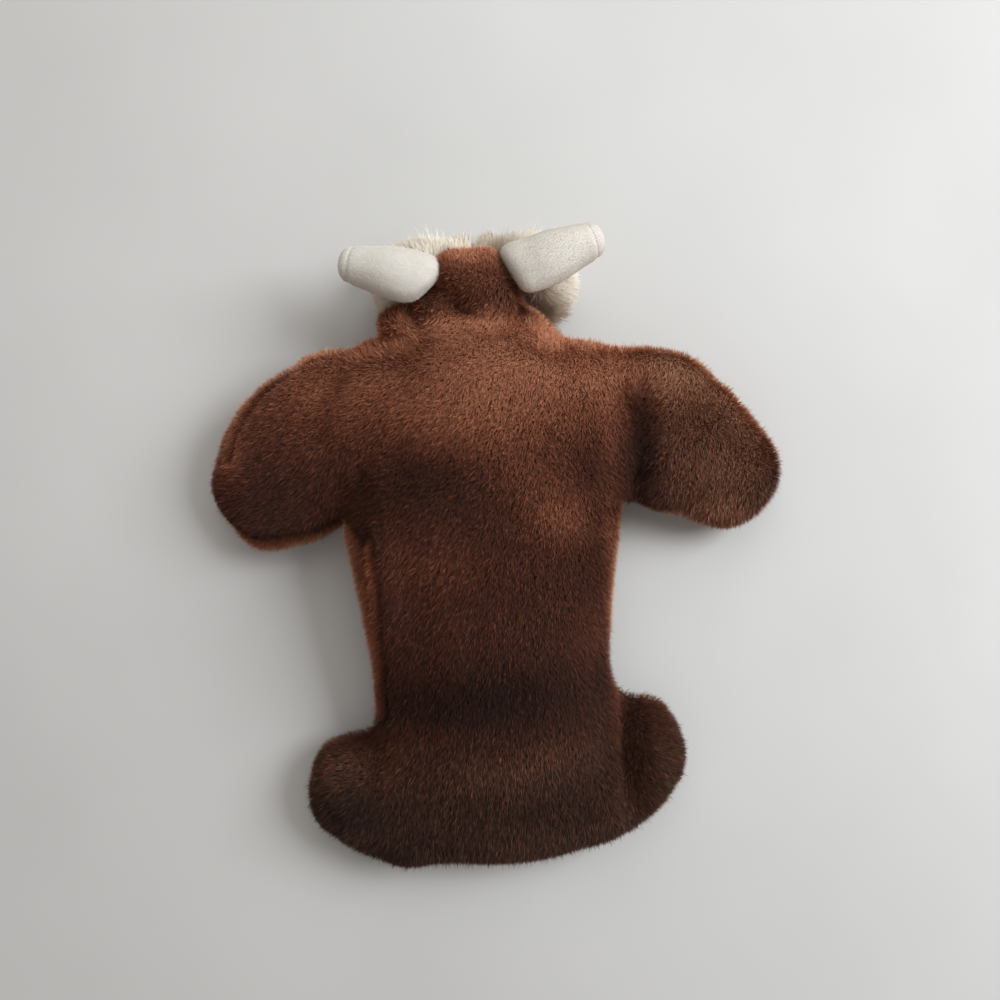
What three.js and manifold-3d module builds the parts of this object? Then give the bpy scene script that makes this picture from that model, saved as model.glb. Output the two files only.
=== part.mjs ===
// A stuffed plush walrus lying on its belly, as a sewing bench would lay it out: every cover is a pair of
// plush panels sewn edge to edge over a loose filling, and each limb swings on its sewn root.
// Millimetres and degrees. +Z is up, +Y runs from the tail to the head, +X is to the walrus's right.
// The origin is on the flat of the belly, under the middle of the body.
import * as THREE from "three";
import { mergeVertices } from "three/addons/utils/BufferGeometryUtils.js";
import Module from "manifold-3d";

const wasm = await Module();
wasm.setup();

// Cloth, clearances and flats
const PLUSH = 2.0; // a plush panel: knitted backing and flattened pile
const VELOUR = 1.2; // the short-pile cloth of the tusks
const SEAM_GAP = 0.4; // between two panels sewn edge to edge
const FILL_GAP = 0.5; // between a filling and its cover
const SEAT_GAP = 0.3; // between a fixed piece and what it sits on
const NECK_FILL_GAP = 2; // between the head's filling and the body's rounded end
const ROOT_GAP = 0.6; // between a limb's sewn root and the body
const REST_FLAT = 0.5; // how deep a soft underside is pressed flat where it lies

// Body, from the tail forwards
const TAIL_Y = -131;
const HIP_Y = -100;
const WAIST_Y = -45;
const BELLY_Y = 0;
const CHEST_Y = 38;
const SHOULDER_Y = 72;
const COLLAR_Y = 97;
const NECK_Y = 113;
const TAIL_WIDTH = 118;
const HIP_WIDTH = 120;
const WAIST_WIDTH = 118;
const BELLY_WIDTH = 130;
const CHEST_WIDTH = 141;
const SHOULDER_WIDTH = 138;
const COLLAR_WIDTH = 116;
const NECK_WIDTH = 80;
const TAIL_DEPTH = 31;
const HIP_DEPTH = 43;
const WAIST_DEPTH = 57;
const BELLY_DEPTH = 61;
const CHEST_DEPTH = 63;
const SHOULDER_DEPTH = 61;
const COLLAR_DEPTH = 50;
const NECK_DEPTH = 37;
const TAIL_LIFT = 2; // undersides clear of the floor
const COLLAR_LIFT = 5;
const NECK_LIFT = 11.5;
const TAIL_ROUND = 25; // length of the rounded tail end

// Front flippers
const FLIPPER_ROOT_Y_LEFT = 70;
const FLIPPER_ROOT_Y_RIGHT = 65;
const FLIPPER_LENGTH_LEFT = 57; // from the root to the start of the rounded tip
const FLIPPER_LENGTH_RIGHT = 64;
const FLIPPER_ROUND = 23; // length of the rounded tip
const FLIPPER_INSET = 25; // the panels run this far into the shoulder before they are trimmed to it
const FLIPPER_ROOT_WIDTH = 83;
const FLIPPER_MID_WIDTH = 73;
const FLIPPER_TIP_WIDTH = 56;
const FLIPPER_ROOT_DEPTH = 5; // the two panels lie flat together in the shoulder seam
const FLIPPER_MID_DEPTH = 30;
const FLIPPER_TIP_DEPTH = 27;
const FLIPPER_RAKE_ANGLE = 12; // how far the root points back towards the tail
const FLIPPER_SWEEP_ANGLE_LEFT = 51; // and how far the tip does
const FLIPPER_SWEEP_ANGLE_RIGHT = 45;
const FLIPPER_DROOP_ANGLE_LEFT = 13;
const FLIPPER_DROOP_ANGLE_RIGHT = 12;
const FLIPPER_SEAM_Z = 30;
const FLIPPER_FILL_ROUND = 5.5; // the rounded inner end of the filling
const FLIPPER_PIVOT = 6; // the panels bend this far out from the body's side
const FLIPPER_UP_ANGLE = 40; // how far the flipper lifts and drops
const FLIPPER_DOWN_ANGLE = 20;

// Tail flukes
const FLUKE_ROOT_Y_LEFT = -114;
const FLUKE_ROOT_Y_RIGHT = -102;
const FLUKE_LENGTH_LEFT = 24;
const FLUKE_LENGTH_RIGHT = 19;
const FLUKE_INSET = 9;
const FLUKE_ROUND = 17;
const FLUKE_ROOT_WIDTH = 66;
const FLUKE_MID_WIDTH = 63;
const FLUKE_TIP_WIDTH = 52;
const FLUKE_ROOT_DEPTH = 5;
const FLUKE_MID_DEPTH = 24;
const FLUKE_TIP_DEPTH = 24;
const FLUKE_SWEEP_ANGLE_LEFT = 7; // tips turn forwards
const FLUKE_SWEEP_ANGLE_RIGHT = 20;
const FLUKE_DROOP_ANGLE = 8;
const FLUKE_SEAM_Z = 19;
const FLUKE_FILL_ROUND = 4.5;
const FLUKE_PIVOT = 5;
const FLUKE_UP_ANGLE = 40;
const FLUKE_DOWN_ANGLE = 20;

// Head: a hood that narrows to a blunt bridge over the nose
const CHEEK_AHEAD = 6; // places ahead of the neck
const BROW_AHEAD = 15;
const BRIDGE_AHEAD = 24;
const NOSE_END_AHEAD = 31;
const CHEEK_WIDTH = 86;
const BROW_WIDTH = 68;
const BRIDGE_WIDTH = 46;
const NOSE_END_WIDTH = 36;
const CHEEK_DEPTH = 42;
const BROW_DEPTH = 47;
const BRIDGE_DEPTH = 41;
const NOSE_END_DEPTH = 32;
const CHEEK_Z = 29; // heights of the hood's middle line
const BROW_Z = 30.5;
const BRIDGE_Z = 31.5;
const NOSE_END_Z = 30.5;
const NOSE_END_ROUND = 9;
const NOSE_END_BLUNTNESS = 3;
const NOD_UP_ANGLE = 35; // how far the head lifts and drops
const NOD_DOWN_ANGLE = 20;

// Muzzle: two whisker pads side by side
const PAD_WIDTH = 55;
const PAD_LENGTH = 52;
const PAD_DEPTH = 38;
const PAD_AHEAD = 27;
const PAD_MEET = 1.5; // the pads are pressed flat against each other by this much

// Tusks
const TUSK_LENGTH = 35; // between the rounded ends
const TUSK_ROOT_WIDTH = 22;
const TUSK_MID_WIDTH = 24;
const TUSK_TIP_WIDTH = 20;
const TUSK_ROOT_X = 24;
const TUSK_ROOT_AHEAD_LEFT = 23;
const TUSK_ROOT_AHEAD_RIGHT = 25.5;
const TUSK_ROOT_Z = 51;
const TUSK_FORWARD_ANGLE_LEFT = 16;
const TUSK_FORWARD_ANGLE_RIGHT = 20.5;
const TUSK_DROP_ANGLE = 6;
const TUSK_ROOT_ROUND = 8;
const TUSK_TIP_ROUND = 7;
const TUSK_CAP = 4; // the sewn end cap starts this far behind the rounded tip

// Eyes, nose and their fixings
const EYE_RADIUS = 4.2;
const EYE_DOME = 3.4;
const EYE_SPACING = 16;
const EYE_RISE = 5;
const EYE_SINK = 0.9; // the eye pulls the cloth in by this much
const SHANK_RADIUS = 1.4;
const SHANK_LENGTH = 5.5;
const SHANK_FIT = 0.12;
const WASHER_RADIUS = 4.6;
const WASHER_THICKNESS = 1.4;
const CLOTH_UNDER_EYE = 1.0; // pinched between the eye and its washer
const NOSE_WIDTH = 15;
const NOSE_HEIGHT = 10;
const NOSE_DEPTH = 9;
const NOSE_DROP = 6;

// How finely the forms are drawn
const BODY_SIDES = 16;
const LIMB_SIDES = 12;
const TUSK_SIDES = 10;
const FILL_FIRST_RING = 4; // a limb's filling starts this many rings out from its root
const PAD_SIDES = 14;
const TURNED_SIDES = 12;
const SWING_STEP_ANGLE = 10; // degrees between the poses that a swinging piece is trimmed for

const UP = new THREE.Vector3(0, 0, 1);
const radians = THREE.MathUtils.degToRad;

// Materials
const plush = new THREE.MeshStandardMaterial({ color: 0x4d2f24, roughness: 0.95, metalness: 0 });
const muzzleFur = new THREE.MeshStandardMaterial({ color: 0xd9ccb8, roughness: 0.95, metalness: 0 });
const tuskVelour = new THREE.MeshStandardMaterial({ color: 0xe9e4da, roughness: 0.85, metalness: 0 });
const filling = new THREE.MeshStandardMaterial({ color: 0xf4f3ef, roughness: 1, metalness: 0 });
const gloss = new THREE.MeshStandardMaterial({ color: 0x0c0a0a, roughness: 0.12, metalness: 0 });
const noseVelvet = new THREE.MeshStandardMaterial({ color: 0x1d1513, roughness: 0.7, metalness: 0 });
const washerPlastic = new THREE.MeshStandardMaterial({ color: 0xdedede, roughness: 0.5, metalness: 0 });

// Solids and meshes

// The closed solid of a geometry.
function solid(geometry) {
  const bare = geometry.clone();
  bare.deleteAttribute("normal");
  bare.deleteAttribute("uv");
  const merged = mergeVertices(bare, 1e-4);
  return new wasm.Manifold(
    new wasm.Mesh({
      numProp: 3,
      vertProperties: new Float32Array(merged.attributes.position.array),
      triVerts: new Uint32Array(merged.index.array),
    }),
  );
}

// A named mesh of a solid.
function piece(name, body, material) {
  const { vertProperties, triVerts, numProp } = body.getMesh();
  const geometry = new THREE.BufferGeometry();
  const places = new THREE.InterleavedBuffer(vertProperties, numProp);
  geometry.setAttribute("position", new THREE.InterleavedBufferAttribute(places, 3, 0));
  geometry.setIndex(new THREE.BufferAttribute(triVerts, 1));
  const bare = geometry.toNonIndexed();
  bare.computeVertexNormals();
  const mesh = new THREE.Mesh(bare, material);
  mesh.name = name;
  return mesh;
}

// A large block whose top face lies in the plane z = 0 before it is placed.
function block(matrix) {
  const size = 1000;
  const box = new THREE.BoxGeometry(size, size, size).translate(0, 0, -size / 2);
  return solid(box.applyMatrix4(matrix));
}

// Stuffed forms

// A stuffed form is a row of stations along a spine. Each has a place, a width and a depth, and the
// ends are closed by rounded caps. bluntness 2 is an oval cap, and more is a flatter one.
function stuffedForm({ stations, startRound, endRound, bluntness = 2, ringsPerSpan = 2, capRings = 3 }) {
  const spine = new THREE.CatmullRomCurve3(stations.map((s) => s.at));
  const smooth = (key) => {
    const line = new THREE.SplineCurve(stations.map((s, i) => new THREE.Vector2(i, s[key])));
    return (t) => line.getPoint(t).y;
  };
  const width = smooth("width");
  const depth = smooth("depth");
  const spans = (stations.length - 1) * ringsPerSpan;

  // The ring at t: its place, its directions and its half sizes.
  function ringAt(t, grow = 0) {
    const along = spine.getTangent(t);
    const side = new THREE.Vector3().crossVectors(along, UP).normalize();
    const up = new THREE.Vector3().crossVectors(side, along);
    const [wide, high] = [width(t) / 2 + grow, depth(t) / 2 + grow];
    return { at: spine.getPoint(t), along, side, up, wide, high };
  }

  // The rings of the cap at t, from its widest ring to its pole.
  function capAt(t, round, grow) {
    return Array.from({ length: capRings }, (_, k) => {
      const angle = ((k + 1) / capRings) * (Math.PI / 2);
      const share = k + 1 < capRings ? Math.cos(angle) ** (2 / bluntness) : 0;
      const ring = ringAt(t, grow);
      ring.at.addScaledVector(ring.along, round * Math.sin(angle) ** (2 / bluntness));
      return { ...ring, wide: ring.wide * share, high: ring.high * share };
    });
  }

  // Every ring from pole to pole, for a form grown outwards by a distance. A filling may start later.
  function rings(grow, firstSpan = 0, firstRound = startRound) {
    const middle = [];
    for (let k = firstSpan; k <= spans; k++) middle.push(ringAt(k / spans, grow));
    const start = capAt(firstSpan / spans, -(firstRound + grow), grow).reverse();
    return [...start, ...middle, ...capAt(1, endRound + grow, grow)];
  }
  return { ringAt, rings, spine, endRound, bluntness };
}

// The point of a ring at an angle: 0 is the form's side, a quarter turn its top.
function ringPoint(ring, angle, lift = 0) {
  return ring.at
    .clone()
    .addScaledVector(ring.side, ring.wide * Math.cos(angle))
    .addScaledVector(ring.up, ring.high * Math.sin(angle))
    .addScaledVector(UP, lift);
}

// A geometry of triangles, without those that a pole has squeezed to nothing.
function fromTriangles(triangles) {
  const kept = triangles.filter(
    ([a, b, c]) => a.distanceTo(b) > 1e-6 && b.distanceTo(c) > 1e-6 && c.distanceTo(a) > 1e-6,
  );
  return new THREE.BufferGeometry().setFromPoints(kept.flat());
}

// The two triangles of a quadrilateral.
const quad = (a, b, c, d) => [[a, b, c], [a, c, d]];

// The closed surface round a row of rings.
function ringGeometry(rows, sides) {
  const turn = (j) => (2 * Math.PI * (j % sides)) / sides;
  const triangles = [];
  for (let i = 0; i + 1 < rows.length; i++) {
    for (let j = 0; j < sides; j++) {
      const [a, b] = [ringPoint(rows[i], turn(j)), ringPoint(rows[i], turn(j + 1))];
      const [c, d] = [ringPoint(rows[i + 1], turn(j + 1)), ringPoint(rows[i + 1], turn(j))];
      triangles.push(...quad(a, d, c, b));
    }
  }
  return fromTriangles(triangles);
}

// One of the two panels that cover a form: the upper one (sign 1) or the lower one (sign -1).
// Its edges lie in the seam round the form's sides.
function panelSolid(form, sign, cloth, sides) {
  const half = sides / 2;
  const lift = (sign * SEAM_GAP) / 2;
  const turn = (j) => Math.PI * (j / half + (sign > 0 ? 0 : 1));
  const outer = form.rings(0);
  const thin = (size, full) => Math.max(size, full * 0.04);
  const inner = form.rings(-cloth).map((ring, i) => ({
    ...ring,
    wide: thin(ring.wide, outer[i].wide),
    high: thin(ring.high, outer[i].high),
  }));
  const triangles = [];
  const add = (a, b, c, d) => triangles.push(...quad(a, d, c, b));
  for (let i = 0; i + 1 < outer.length; i++) {
    for (let j = 0; j < half; j++) {
      const out = (k, m) => ringPoint(outer[i + k], turn(j + m), lift);
      const inn = (k, m) => ringPoint(inner[i + k], turn(j + m), lift);
      add(out(0, 0), out(0, 1), out(1, 1), out(1, 0));
      add(inn(0, 1), inn(0, 0), inn(1, 0), inn(1, 1));
      if (j === 0) add(inn(0, 0), out(0, 0), out(1, 0), inn(1, 0));
      if (j === half - 1) add(out(0, 1), inn(0, 1), inn(1, 1), out(1, 1));
    }
  }
  return solid(fromTriangles(triangles));
}

// The whole form, grown outwards by a distance.
const wholeGeometry = (form, grow, sides) => ringGeometry(form.rings(grow), sides);
const wholeSolid = (form, grow, sides) => solid(wholeGeometry(form, grow, sides));

// The filling of a form, loose inside its cover, which has every other corner of the cover's rings.
// In a limb it starts some rings out from the flat root.
function fillSolid(form, cloth, sides, firstSpan, firstRound) {
  return solid(ringGeometry(form.rings(-(cloth + FILL_GAP), firstSpan, firstRound), sides / 2));
}

// A turned solid: its outline is given as [radius, height] from its lower end on the axis upwards.
function turnedSolid(outline, matrix) {
  const points = outline.map(([radius, height]) => new THREE.Vector2(radius, height));
  const lathe = new THREE.LatheGeometry(points, TURNED_SIDES).rotateX(Math.PI / 2);
  return solid(lathe.applyMatrix4(matrix));
}

// A placement whose Z axis points along a direction.
function facing(direction, at) {
  const turn = new THREE.Quaternion().setFromUnitVectors(UP, direction.clone().normalize());
  return new THREE.Matrix4().compose(at, turn, new THREE.Vector3(1, 1, 1));
}

const station = (x, y, z, width, depth) => ({ at: new THREE.Vector3(x, y, z), width, depth });
const floor = block(new THREE.Matrix4());
const walrus = new THREE.Group();

// Body
const bodyStation = (y, width, depth, lift = -REST_FLAT) => station(0, y, lift + depth / 2, width, depth);
const body = stuffedForm({
  stations: [
    bodyStation(TAIL_Y, TAIL_WIDTH, TAIL_DEPTH, TAIL_LIFT),
    bodyStation(HIP_Y, HIP_WIDTH, HIP_DEPTH),
    bodyStation(WAIST_Y, WAIST_WIDTH, WAIST_DEPTH),
    bodyStation(BELLY_Y, BELLY_WIDTH, BELLY_DEPTH),
    bodyStation(CHEST_Y, CHEST_WIDTH, CHEST_DEPTH),
    bodyStation(SHOULDER_Y, SHOULDER_WIDTH, SHOULDER_DEPTH),
    bodyStation(COLLAR_Y, COLLAR_WIDTH, COLLAR_DEPTH, COLLAR_LIFT),
    bodyStation(NECK_Y, NECK_WIDTH, NECK_DEPTH, NECK_LIFT),
  ],
  startRound: TAIL_ROUND,
  endRound: NECK_DEPTH / 2, // the neck end is round about the nodding axis
});
walrus.add(
  piece("back_panel", panelSolid(body, 1, PLUSH, BODY_SIDES), plush),
  piece("belly_panel", panelSolid(body, -1, PLUSH, BODY_SIDES).subtract(floor), plush),
  piece("body_filling", fillSolid(body, PLUSH, BODY_SIDES), filling),
);

// The body's half width at a place along it.
function bodySide(y) {
  let [low, high] = [0, 1];
  for (let k = 0; k < 40; k++) {
    const middle = (low + high) / 2;
    if (body.spine.getPoint(middle).y < y) low = middle;
    else high = middle;
  }
  return body.ringAt(low).wide;
}

// The room that the body needs from a piece that swings about an axis, over the piece's whole range.
function swingRoom(at, axis, down, up) {
  const grown = wholeGeometry(body, SEAM_GAP / 2 + ROOT_GAP, BODY_SIDES);
  const steps = Math.ceil((down + up) / SWING_STEP_ANGLE);
  const poses = Array.from({ length: steps + 1 }, (_, k) => -down + ((down + up) * k) / steps);
  const toAxis = new THREE.Matrix4().makeTranslation(at.clone().negate());
  const fromAxis = new THREE.Matrix4().makeTranslation(at);
  const rooms = [0, ...poses].map((pose) => {
    const turn = new THREE.Matrix4().makeRotationAxis(axis, -radians(pose));
    return solid(grown.clone().applyMatrix4(toAxis).applyMatrix4(turn).applyMatrix4(fromAxis));
  });
  return rooms.reduce((all, room) => all.add(room));
}

// A limb: a path that leaves the body's side seam at a heading and turns to another, and droops on
// the way. distances are measured from the body's side.
function limbStations({ sign, rootY, seamZ, length, headings, droop, distances, widths, depths }) {
  const rootX = bodySide(rootY);
  const [first, last] = headings.map(radians);
  return distances.map((distance, k) => {
    const share = Math.max(distance, 0) / length;
    const heading = first + ((last - first) * share) / 2;
    const x = sign * (rootX + distance * Math.cos(heading));
    const y = rootY - distance * Math.sin(heading);
    const z = seamZ - Math.max(distance, 0) * Math.tan(radians(droop)) * (0.5 + share / 2);
    return station(x, y, z, widths[k], depths[k]);
  });
}

// The two panels and the filling of a limb.
function addLimb(name, form, room, fillRound) {
  const upper = panelSolid(form, 1, PLUSH, LIMB_SIDES).subtract(room);
  const lower = panelSolid(form, -1, PLUSH, LIMB_SIDES).subtract(room);
  const fill = fillSolid(form, PLUSH, LIMB_SIDES, FILL_FIRST_RING, fillRound).subtract(room);
  walrus.add(
    piece(`${name}_upper_panel`, upper, plush),
    piece(`${name}_lower_panel`, lower, plush),
    piece(`${name}_filling`, fill, filling),
  );
}

// Front flippers
for (const [side, sign, droop, sweep, rootY, length] of [
  ["left", -1, FLIPPER_DROOP_ANGLE_LEFT, FLIPPER_SWEEP_ANGLE_LEFT, FLIPPER_ROOT_Y_LEFT, FLIPPER_LENGTH_LEFT],
  ["right", 1, FLIPPER_DROOP_ANGLE_RIGHT, FLIPPER_SWEEP_ANGLE_RIGHT, FLIPPER_ROOT_Y_RIGHT, FLIPPER_LENGTH_RIGHT],
]) {
  const flipper = stuffedForm({
    stations: limbStations({
      sign,
      droop,
      rootY,
      length,
      seamZ: FLIPPER_SEAM_Z,
      headings: [FLIPPER_RAKE_ANGLE, sweep],
      distances: [-FLIPPER_INSET, 0, 0.25 * length, 0.6 * length, length],
      widths: [
        FLIPPER_ROOT_WIDTH,
        FLIPPER_ROOT_WIDTH,
        (FLIPPER_ROOT_WIDTH + FLIPPER_MID_WIDTH) / 2,
        FLIPPER_MID_WIDTH,
        FLIPPER_TIP_WIDTH,
      ],
      depths: [
        FLIPPER_ROOT_DEPTH,
        FLIPPER_ROOT_DEPTH,
        (FLIPPER_ROOT_DEPTH + 3 * FLIPPER_MID_DEPTH) / 4,
        FLIPPER_MID_DEPTH,
        FLIPPER_TIP_DEPTH,
      ],
    }),
    startRound: FLIPPER_ROOT_DEPTH / 2,
    endRound: FLIPPER_ROUND,
  });
  const pivotX = bodySide(rootY) + ROOT_GAP + FLIPPER_PIVOT;
  const pivot = new THREE.Vector3(sign * pivotX, rootY, FLIPPER_SEAM_Z);
  const room = swingRoom(pivot, new THREE.Vector3(0, -sign, 0), FLIPPER_DOWN_ANGLE, FLIPPER_UP_ANGLE);
  addLimb(`flipper_${side}`, flipper, room, FLIPPER_FILL_ROUND);
}

// Tail flukes
for (const [side, sign, rootY, length, sweep] of [
  ["left", -1, FLUKE_ROOT_Y_LEFT, FLUKE_LENGTH_LEFT, FLUKE_SWEEP_ANGLE_LEFT],
  ["right", 1, FLUKE_ROOT_Y_RIGHT, FLUKE_LENGTH_RIGHT, FLUKE_SWEEP_ANGLE_RIGHT],
]) {
  const fluke = stuffedForm({
    stations: limbStations({
      sign,
      rootY,
      length,
      droop: FLUKE_DROOP_ANGLE,
      seamZ: FLUKE_SEAM_Z,
      headings: [0, -sweep],
      distances: [-FLUKE_INSET, 0, 0.5 * length, length],
      widths: [FLUKE_ROOT_WIDTH, FLUKE_ROOT_WIDTH, FLUKE_MID_WIDTH, FLUKE_TIP_WIDTH],
      depths: [FLUKE_ROOT_DEPTH, FLUKE_ROOT_DEPTH, FLUKE_MID_DEPTH, FLUKE_TIP_DEPTH],
    }),
    startRound: FLUKE_ROOT_DEPTH / 2,
    endRound: FLUKE_ROUND,
  });
  const pivotX = bodySide(rootY) + ROOT_GAP + FLUKE_PIVOT;
  const pivot = new THREE.Vector3(sign * pivotX, rootY, FLUKE_SEAM_Z);
  const room = swingRoom(pivot, new THREE.Vector3(0, -sign, 0), FLUKE_DOWN_ANGLE, FLUKE_UP_ANGLE);
  addLimb(`fluke_${side}`, fluke, room, FLUKE_FILL_ROUND);
}

// Head hood. It is open at the neck, where it turns round the body's rounded end.
const hood = stuffedForm({
  stations: [
    station(0, NECK_Y, CHEEK_Z, (NECK_WIDTH + CHEEK_WIDTH) / 2, NECK_DEPTH),
    station(0, NECK_Y + CHEEK_AHEAD, CHEEK_Z, CHEEK_WIDTH, CHEEK_DEPTH),
    station(0, NECK_Y + BROW_AHEAD, BROW_Z, BROW_WIDTH, BROW_DEPTH),
    station(0, NECK_Y + BRIDGE_AHEAD, BRIDGE_Z, BRIDGE_WIDTH, BRIDGE_DEPTH),
    station(0, NECK_Y + NOSE_END_AHEAD, NOSE_END_Z, NOSE_END_WIDTH, NOSE_END_DEPTH),
  ],
  startRound: PLUSH,
  endRound: NOSE_END_ROUND,
  bluntness: NOSE_END_BLUNTNESS,
  capRings: 5,
});
const hoodSeat = wholeSolid(hood, SEAM_GAP / 2 + SEAT_GAP, BODY_SIDES);
const nodAxis = body.ringAt(1).at;
const nodDirection = new THREE.Vector3(1, 0, 0);
const neckRoom = swingRoom(nodAxis, nodDirection, NOD_DOWN_ANGLE, NOD_UP_ANGLE);
const barrel = Array.from({ length: TURNED_SIDES + 1 }, (_, k) => {
  const angle = (Math.PI * k) / TURNED_SIDES;
  const share = k % TURNED_SIDES ? Math.sin(angle) : 0;
  return [(NECK_DEPTH / 2 + NECK_FILL_GAP) * share, -(NECK_WIDTH / 2 + NECK_FILL_GAP) * Math.cos(angle)];
});
const neckBarrel = turnedSolid(barrel, facing(nodDirection, nodAxis));

// A place on the hood's blunt front, measured sideways and upwards from its middle.
function hoodFront(across, rise) {
  const ring = hood.ringAt(1);
  const share = Math.hypot(across / ring.wide, rise / ring.high);
  const reach = hood.endRound * (1 - share ** hood.bluntness) ** (1 / hood.bluntness);
  const at = ring.at.addScaledVector(ring.along, reach);
  return at.addScaledVector(ring.side, across).addScaledVector(ring.up, rise);
}
const faceDirection = hood.ringAt(1).along;

// Eyes on shanks, each held by a washer behind the cloth
const eyeRoom = [];
const eyePieces = [];
for (const [side, sign] of [["left", -1], ["right", 1]]) {
  const at = hoodFront((sign * EYE_SPACING) / 2, EYE_RISE).addScaledVector(faceDirection, -EYE_SINK);
  const place = facing(faceDirection, at);
  const dome = [0.4, 0.75, 0.95].map((s) => [EYE_RADIUS * Math.sqrt(1 - s * s), EYE_DOME * s]);
  const shaft = [[0, -SHANK_LENGTH], [SHANK_RADIUS, -SHANK_LENGTH], [SHANK_RADIUS, 0]];
  const eye = turnedSolid([...shaft, [EYE_RADIUS, 0], ...dome, [0, EYE_DOME]], place);
  const front = -CLOTH_UNDER_EYE - SEAT_GAP;
  const back = front - WASHER_THICKNESS;
  const hole = SHANK_RADIUS + SHANK_FIT;
  const washer = turnedSolid(
    [[hole, back], [WASHER_RADIUS, back], [WASHER_RADIUS, front], [hole, front], [hole, back]],
    place,
  );
  const seat = EYE_RADIUS + SEAT_GAP;
  const pocket = WASHER_RADIUS + SEAT_GAP;
  const bed = -CLOTH_UNDER_EYE;
  const deep = -SHANK_LENGTH - SEAT_GAP;
  const shank = SHANK_RADIUS + SEAT_GAP;
  const clear = EYE_DOME + EYE_SINK;
  eyeRoom.push(
    turnedSolid(
      [[0, deep], [pocket, deep], [pocket, bed], [shank, bed], [shank, -SEAT_GAP], [seat, -SEAT_GAP],
        [seat, clear], [0, clear]],
      place,
    ),
  );
  eyePieces.push(piece(`eye_${side}`, eye, gloss), piece(`eye_washer_${side}`, washer, washerPlastic));
}
const eyesRoom = eyeRoom[0].add(eyeRoom[1]);

const headFill = fillSolid(hood, PLUSH, BODY_SIDES).subtract(neckBarrel);
const headRoom = neckRoom.add(eyesRoom);
const headPanel = (sign) => panelSolid(hood, sign, PLUSH, BODY_SIDES).subtract(headRoom);
walrus.add(
  piece("head_upper_panel", headPanel(1), plush),
  piece("head_lower_panel", headPanel(-1), plush),
  piece("head_filling", headFill.subtract(headRoom), filling),
  ...eyePieces,
);

// Whisker pads
const padSolid = (sign, grow) => {
  const ball = new THREE.SphereGeometry(1, PAD_SIDES, PAD_SIDES / 2).rotateX(Math.PI / 2);
  ball.scale(PAD_WIDTH / 2 + grow, PAD_LENGTH / 2 + grow, PAD_DEPTH / 2 + grow);
  const aside = sign * (PAD_WIDTH / 2 - PAD_MEET);
  return solid(ball.translate(aside, NECK_Y + PAD_AHEAD, PAD_DEPTH / 2 - REST_FLAT));
};
for (const [side, sign] of [["left", -1], ["right", 1]]) {
  const across = new THREE.Vector3(sign, 0, 0);
  const room = hoodSeat.add(neckRoom).add(floor);
  const coverRoom = room.add(block(facing(across, new THREE.Vector3((sign * SEAM_GAP) / 2, 0, 0))));
  const inside = SEAM_GAP / 2 + PLUSH + FILL_GAP;
  const fillRoom = room.add(block(facing(across, new THREE.Vector3(sign * inside, 0, 0))));
  const cover = padSolid(sign, 0).subtract(padSolid(sign, -PLUSH)).subtract(coverRoom);
  const fill = padSolid(sign, -(PLUSH + FILL_GAP)).subtract(fillRoom);
  walrus.add(piece(`whisker_pad_${side}`, cover, muzzleFur), piece(`pad_filling_${side}`, fill, filling));
}

// Nose, sewn to the bridge above the pads
const noseBall = new THREE.SphereGeometry(0.5, TURNED_SIDES, TURNED_SIDES / 2).rotateX(Math.PI / 2);
noseBall.scale(NOSE_WIDTH, NOSE_DEPTH, NOSE_HEIGHT);
const noseAt = hoodFront(0, -NOSE_DROP);
noseBall.translate(noseAt.x, noseAt.y, noseAt.z);
const padRoom = padSolid(-1, SEAT_GAP).add(padSolid(1, SEAT_GAP));
const noseRoom = hoodSeat.add(padRoom).add(eyesRoom);
walrus.add(piece("nose", solid(noseBall).subtract(noseRoom), noseVelvet));

// Tusks
const tuskRoom = wholeSolid(hood, SEAM_GAP / 2 + ROOT_GAP, BODY_SIDES);
for (const [side, sign, ahead, forwardAngle] of [
  ["left", -1, TUSK_ROOT_AHEAD_LEFT, TUSK_FORWARD_ANGLE_LEFT],
  ["right", 1, TUSK_ROOT_AHEAD_RIGHT, TUSK_FORWARD_ANGLE_RIGHT],
]) {
  const forward = radians(forwardAngle);
  const drop = radians(TUSK_DROP_ANGLE);
  const heading = new THREE.Vector3(
    sign * Math.cos(forward) * Math.cos(drop),
    Math.sin(forward) * Math.cos(drop),
    -Math.sin(drop),
  );
  const root = new THREE.Vector3(sign * TUSK_ROOT_X, NECK_Y + ahead, TUSK_ROOT_Z);
  const tuskStation = (distance, width) => ({
    at: root.clone().addScaledVector(heading, distance),
    width,
    depth: width,
  });
  const tusk = stuffedForm({
    stations: [
      tuskStation(0, TUSK_ROOT_WIDTH),
      tuskStation(TUSK_LENGTH / 2, TUSK_MID_WIDTH),
      tuskStation(TUSK_LENGTH, TUSK_TIP_WIDTH),
    ],
    startRound: TUSK_ROOT_ROUND,
    endRound: TUSK_TIP_ROUND,
    bluntness: 2.4,
  });
  const shell = wholeSolid(tusk, 0, TUSK_SIDES).subtract(wholeSolid(tusk, -VELOUR, TUSK_SIDES));
  const capStart = TUSK_LENGTH - TUSK_CAP;
  const beyond = block(facing(heading.clone().negate(), tuskStation(capStart).at));
  const before = block(facing(heading, tuskStation(capStart + SEAM_GAP).at));
  const fill = fillSolid(tusk, VELOUR, TUSK_SIDES).subtract(tuskRoom);
  walrus.add(
    piece(`tusk_cover_${side}`, shell.subtract(beyond).subtract(tuskRoom), tuskVelour),
    piece(`tusk_cap_${side}`, shell.subtract(before), tuskVelour),
    piece(`tusk_filling_${side}`, fill, filling),
  );
}

export default walrus;
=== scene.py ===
import math

import bmesh
import bpy
import numpy as np
import openvdb
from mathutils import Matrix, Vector, kdtree


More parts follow.
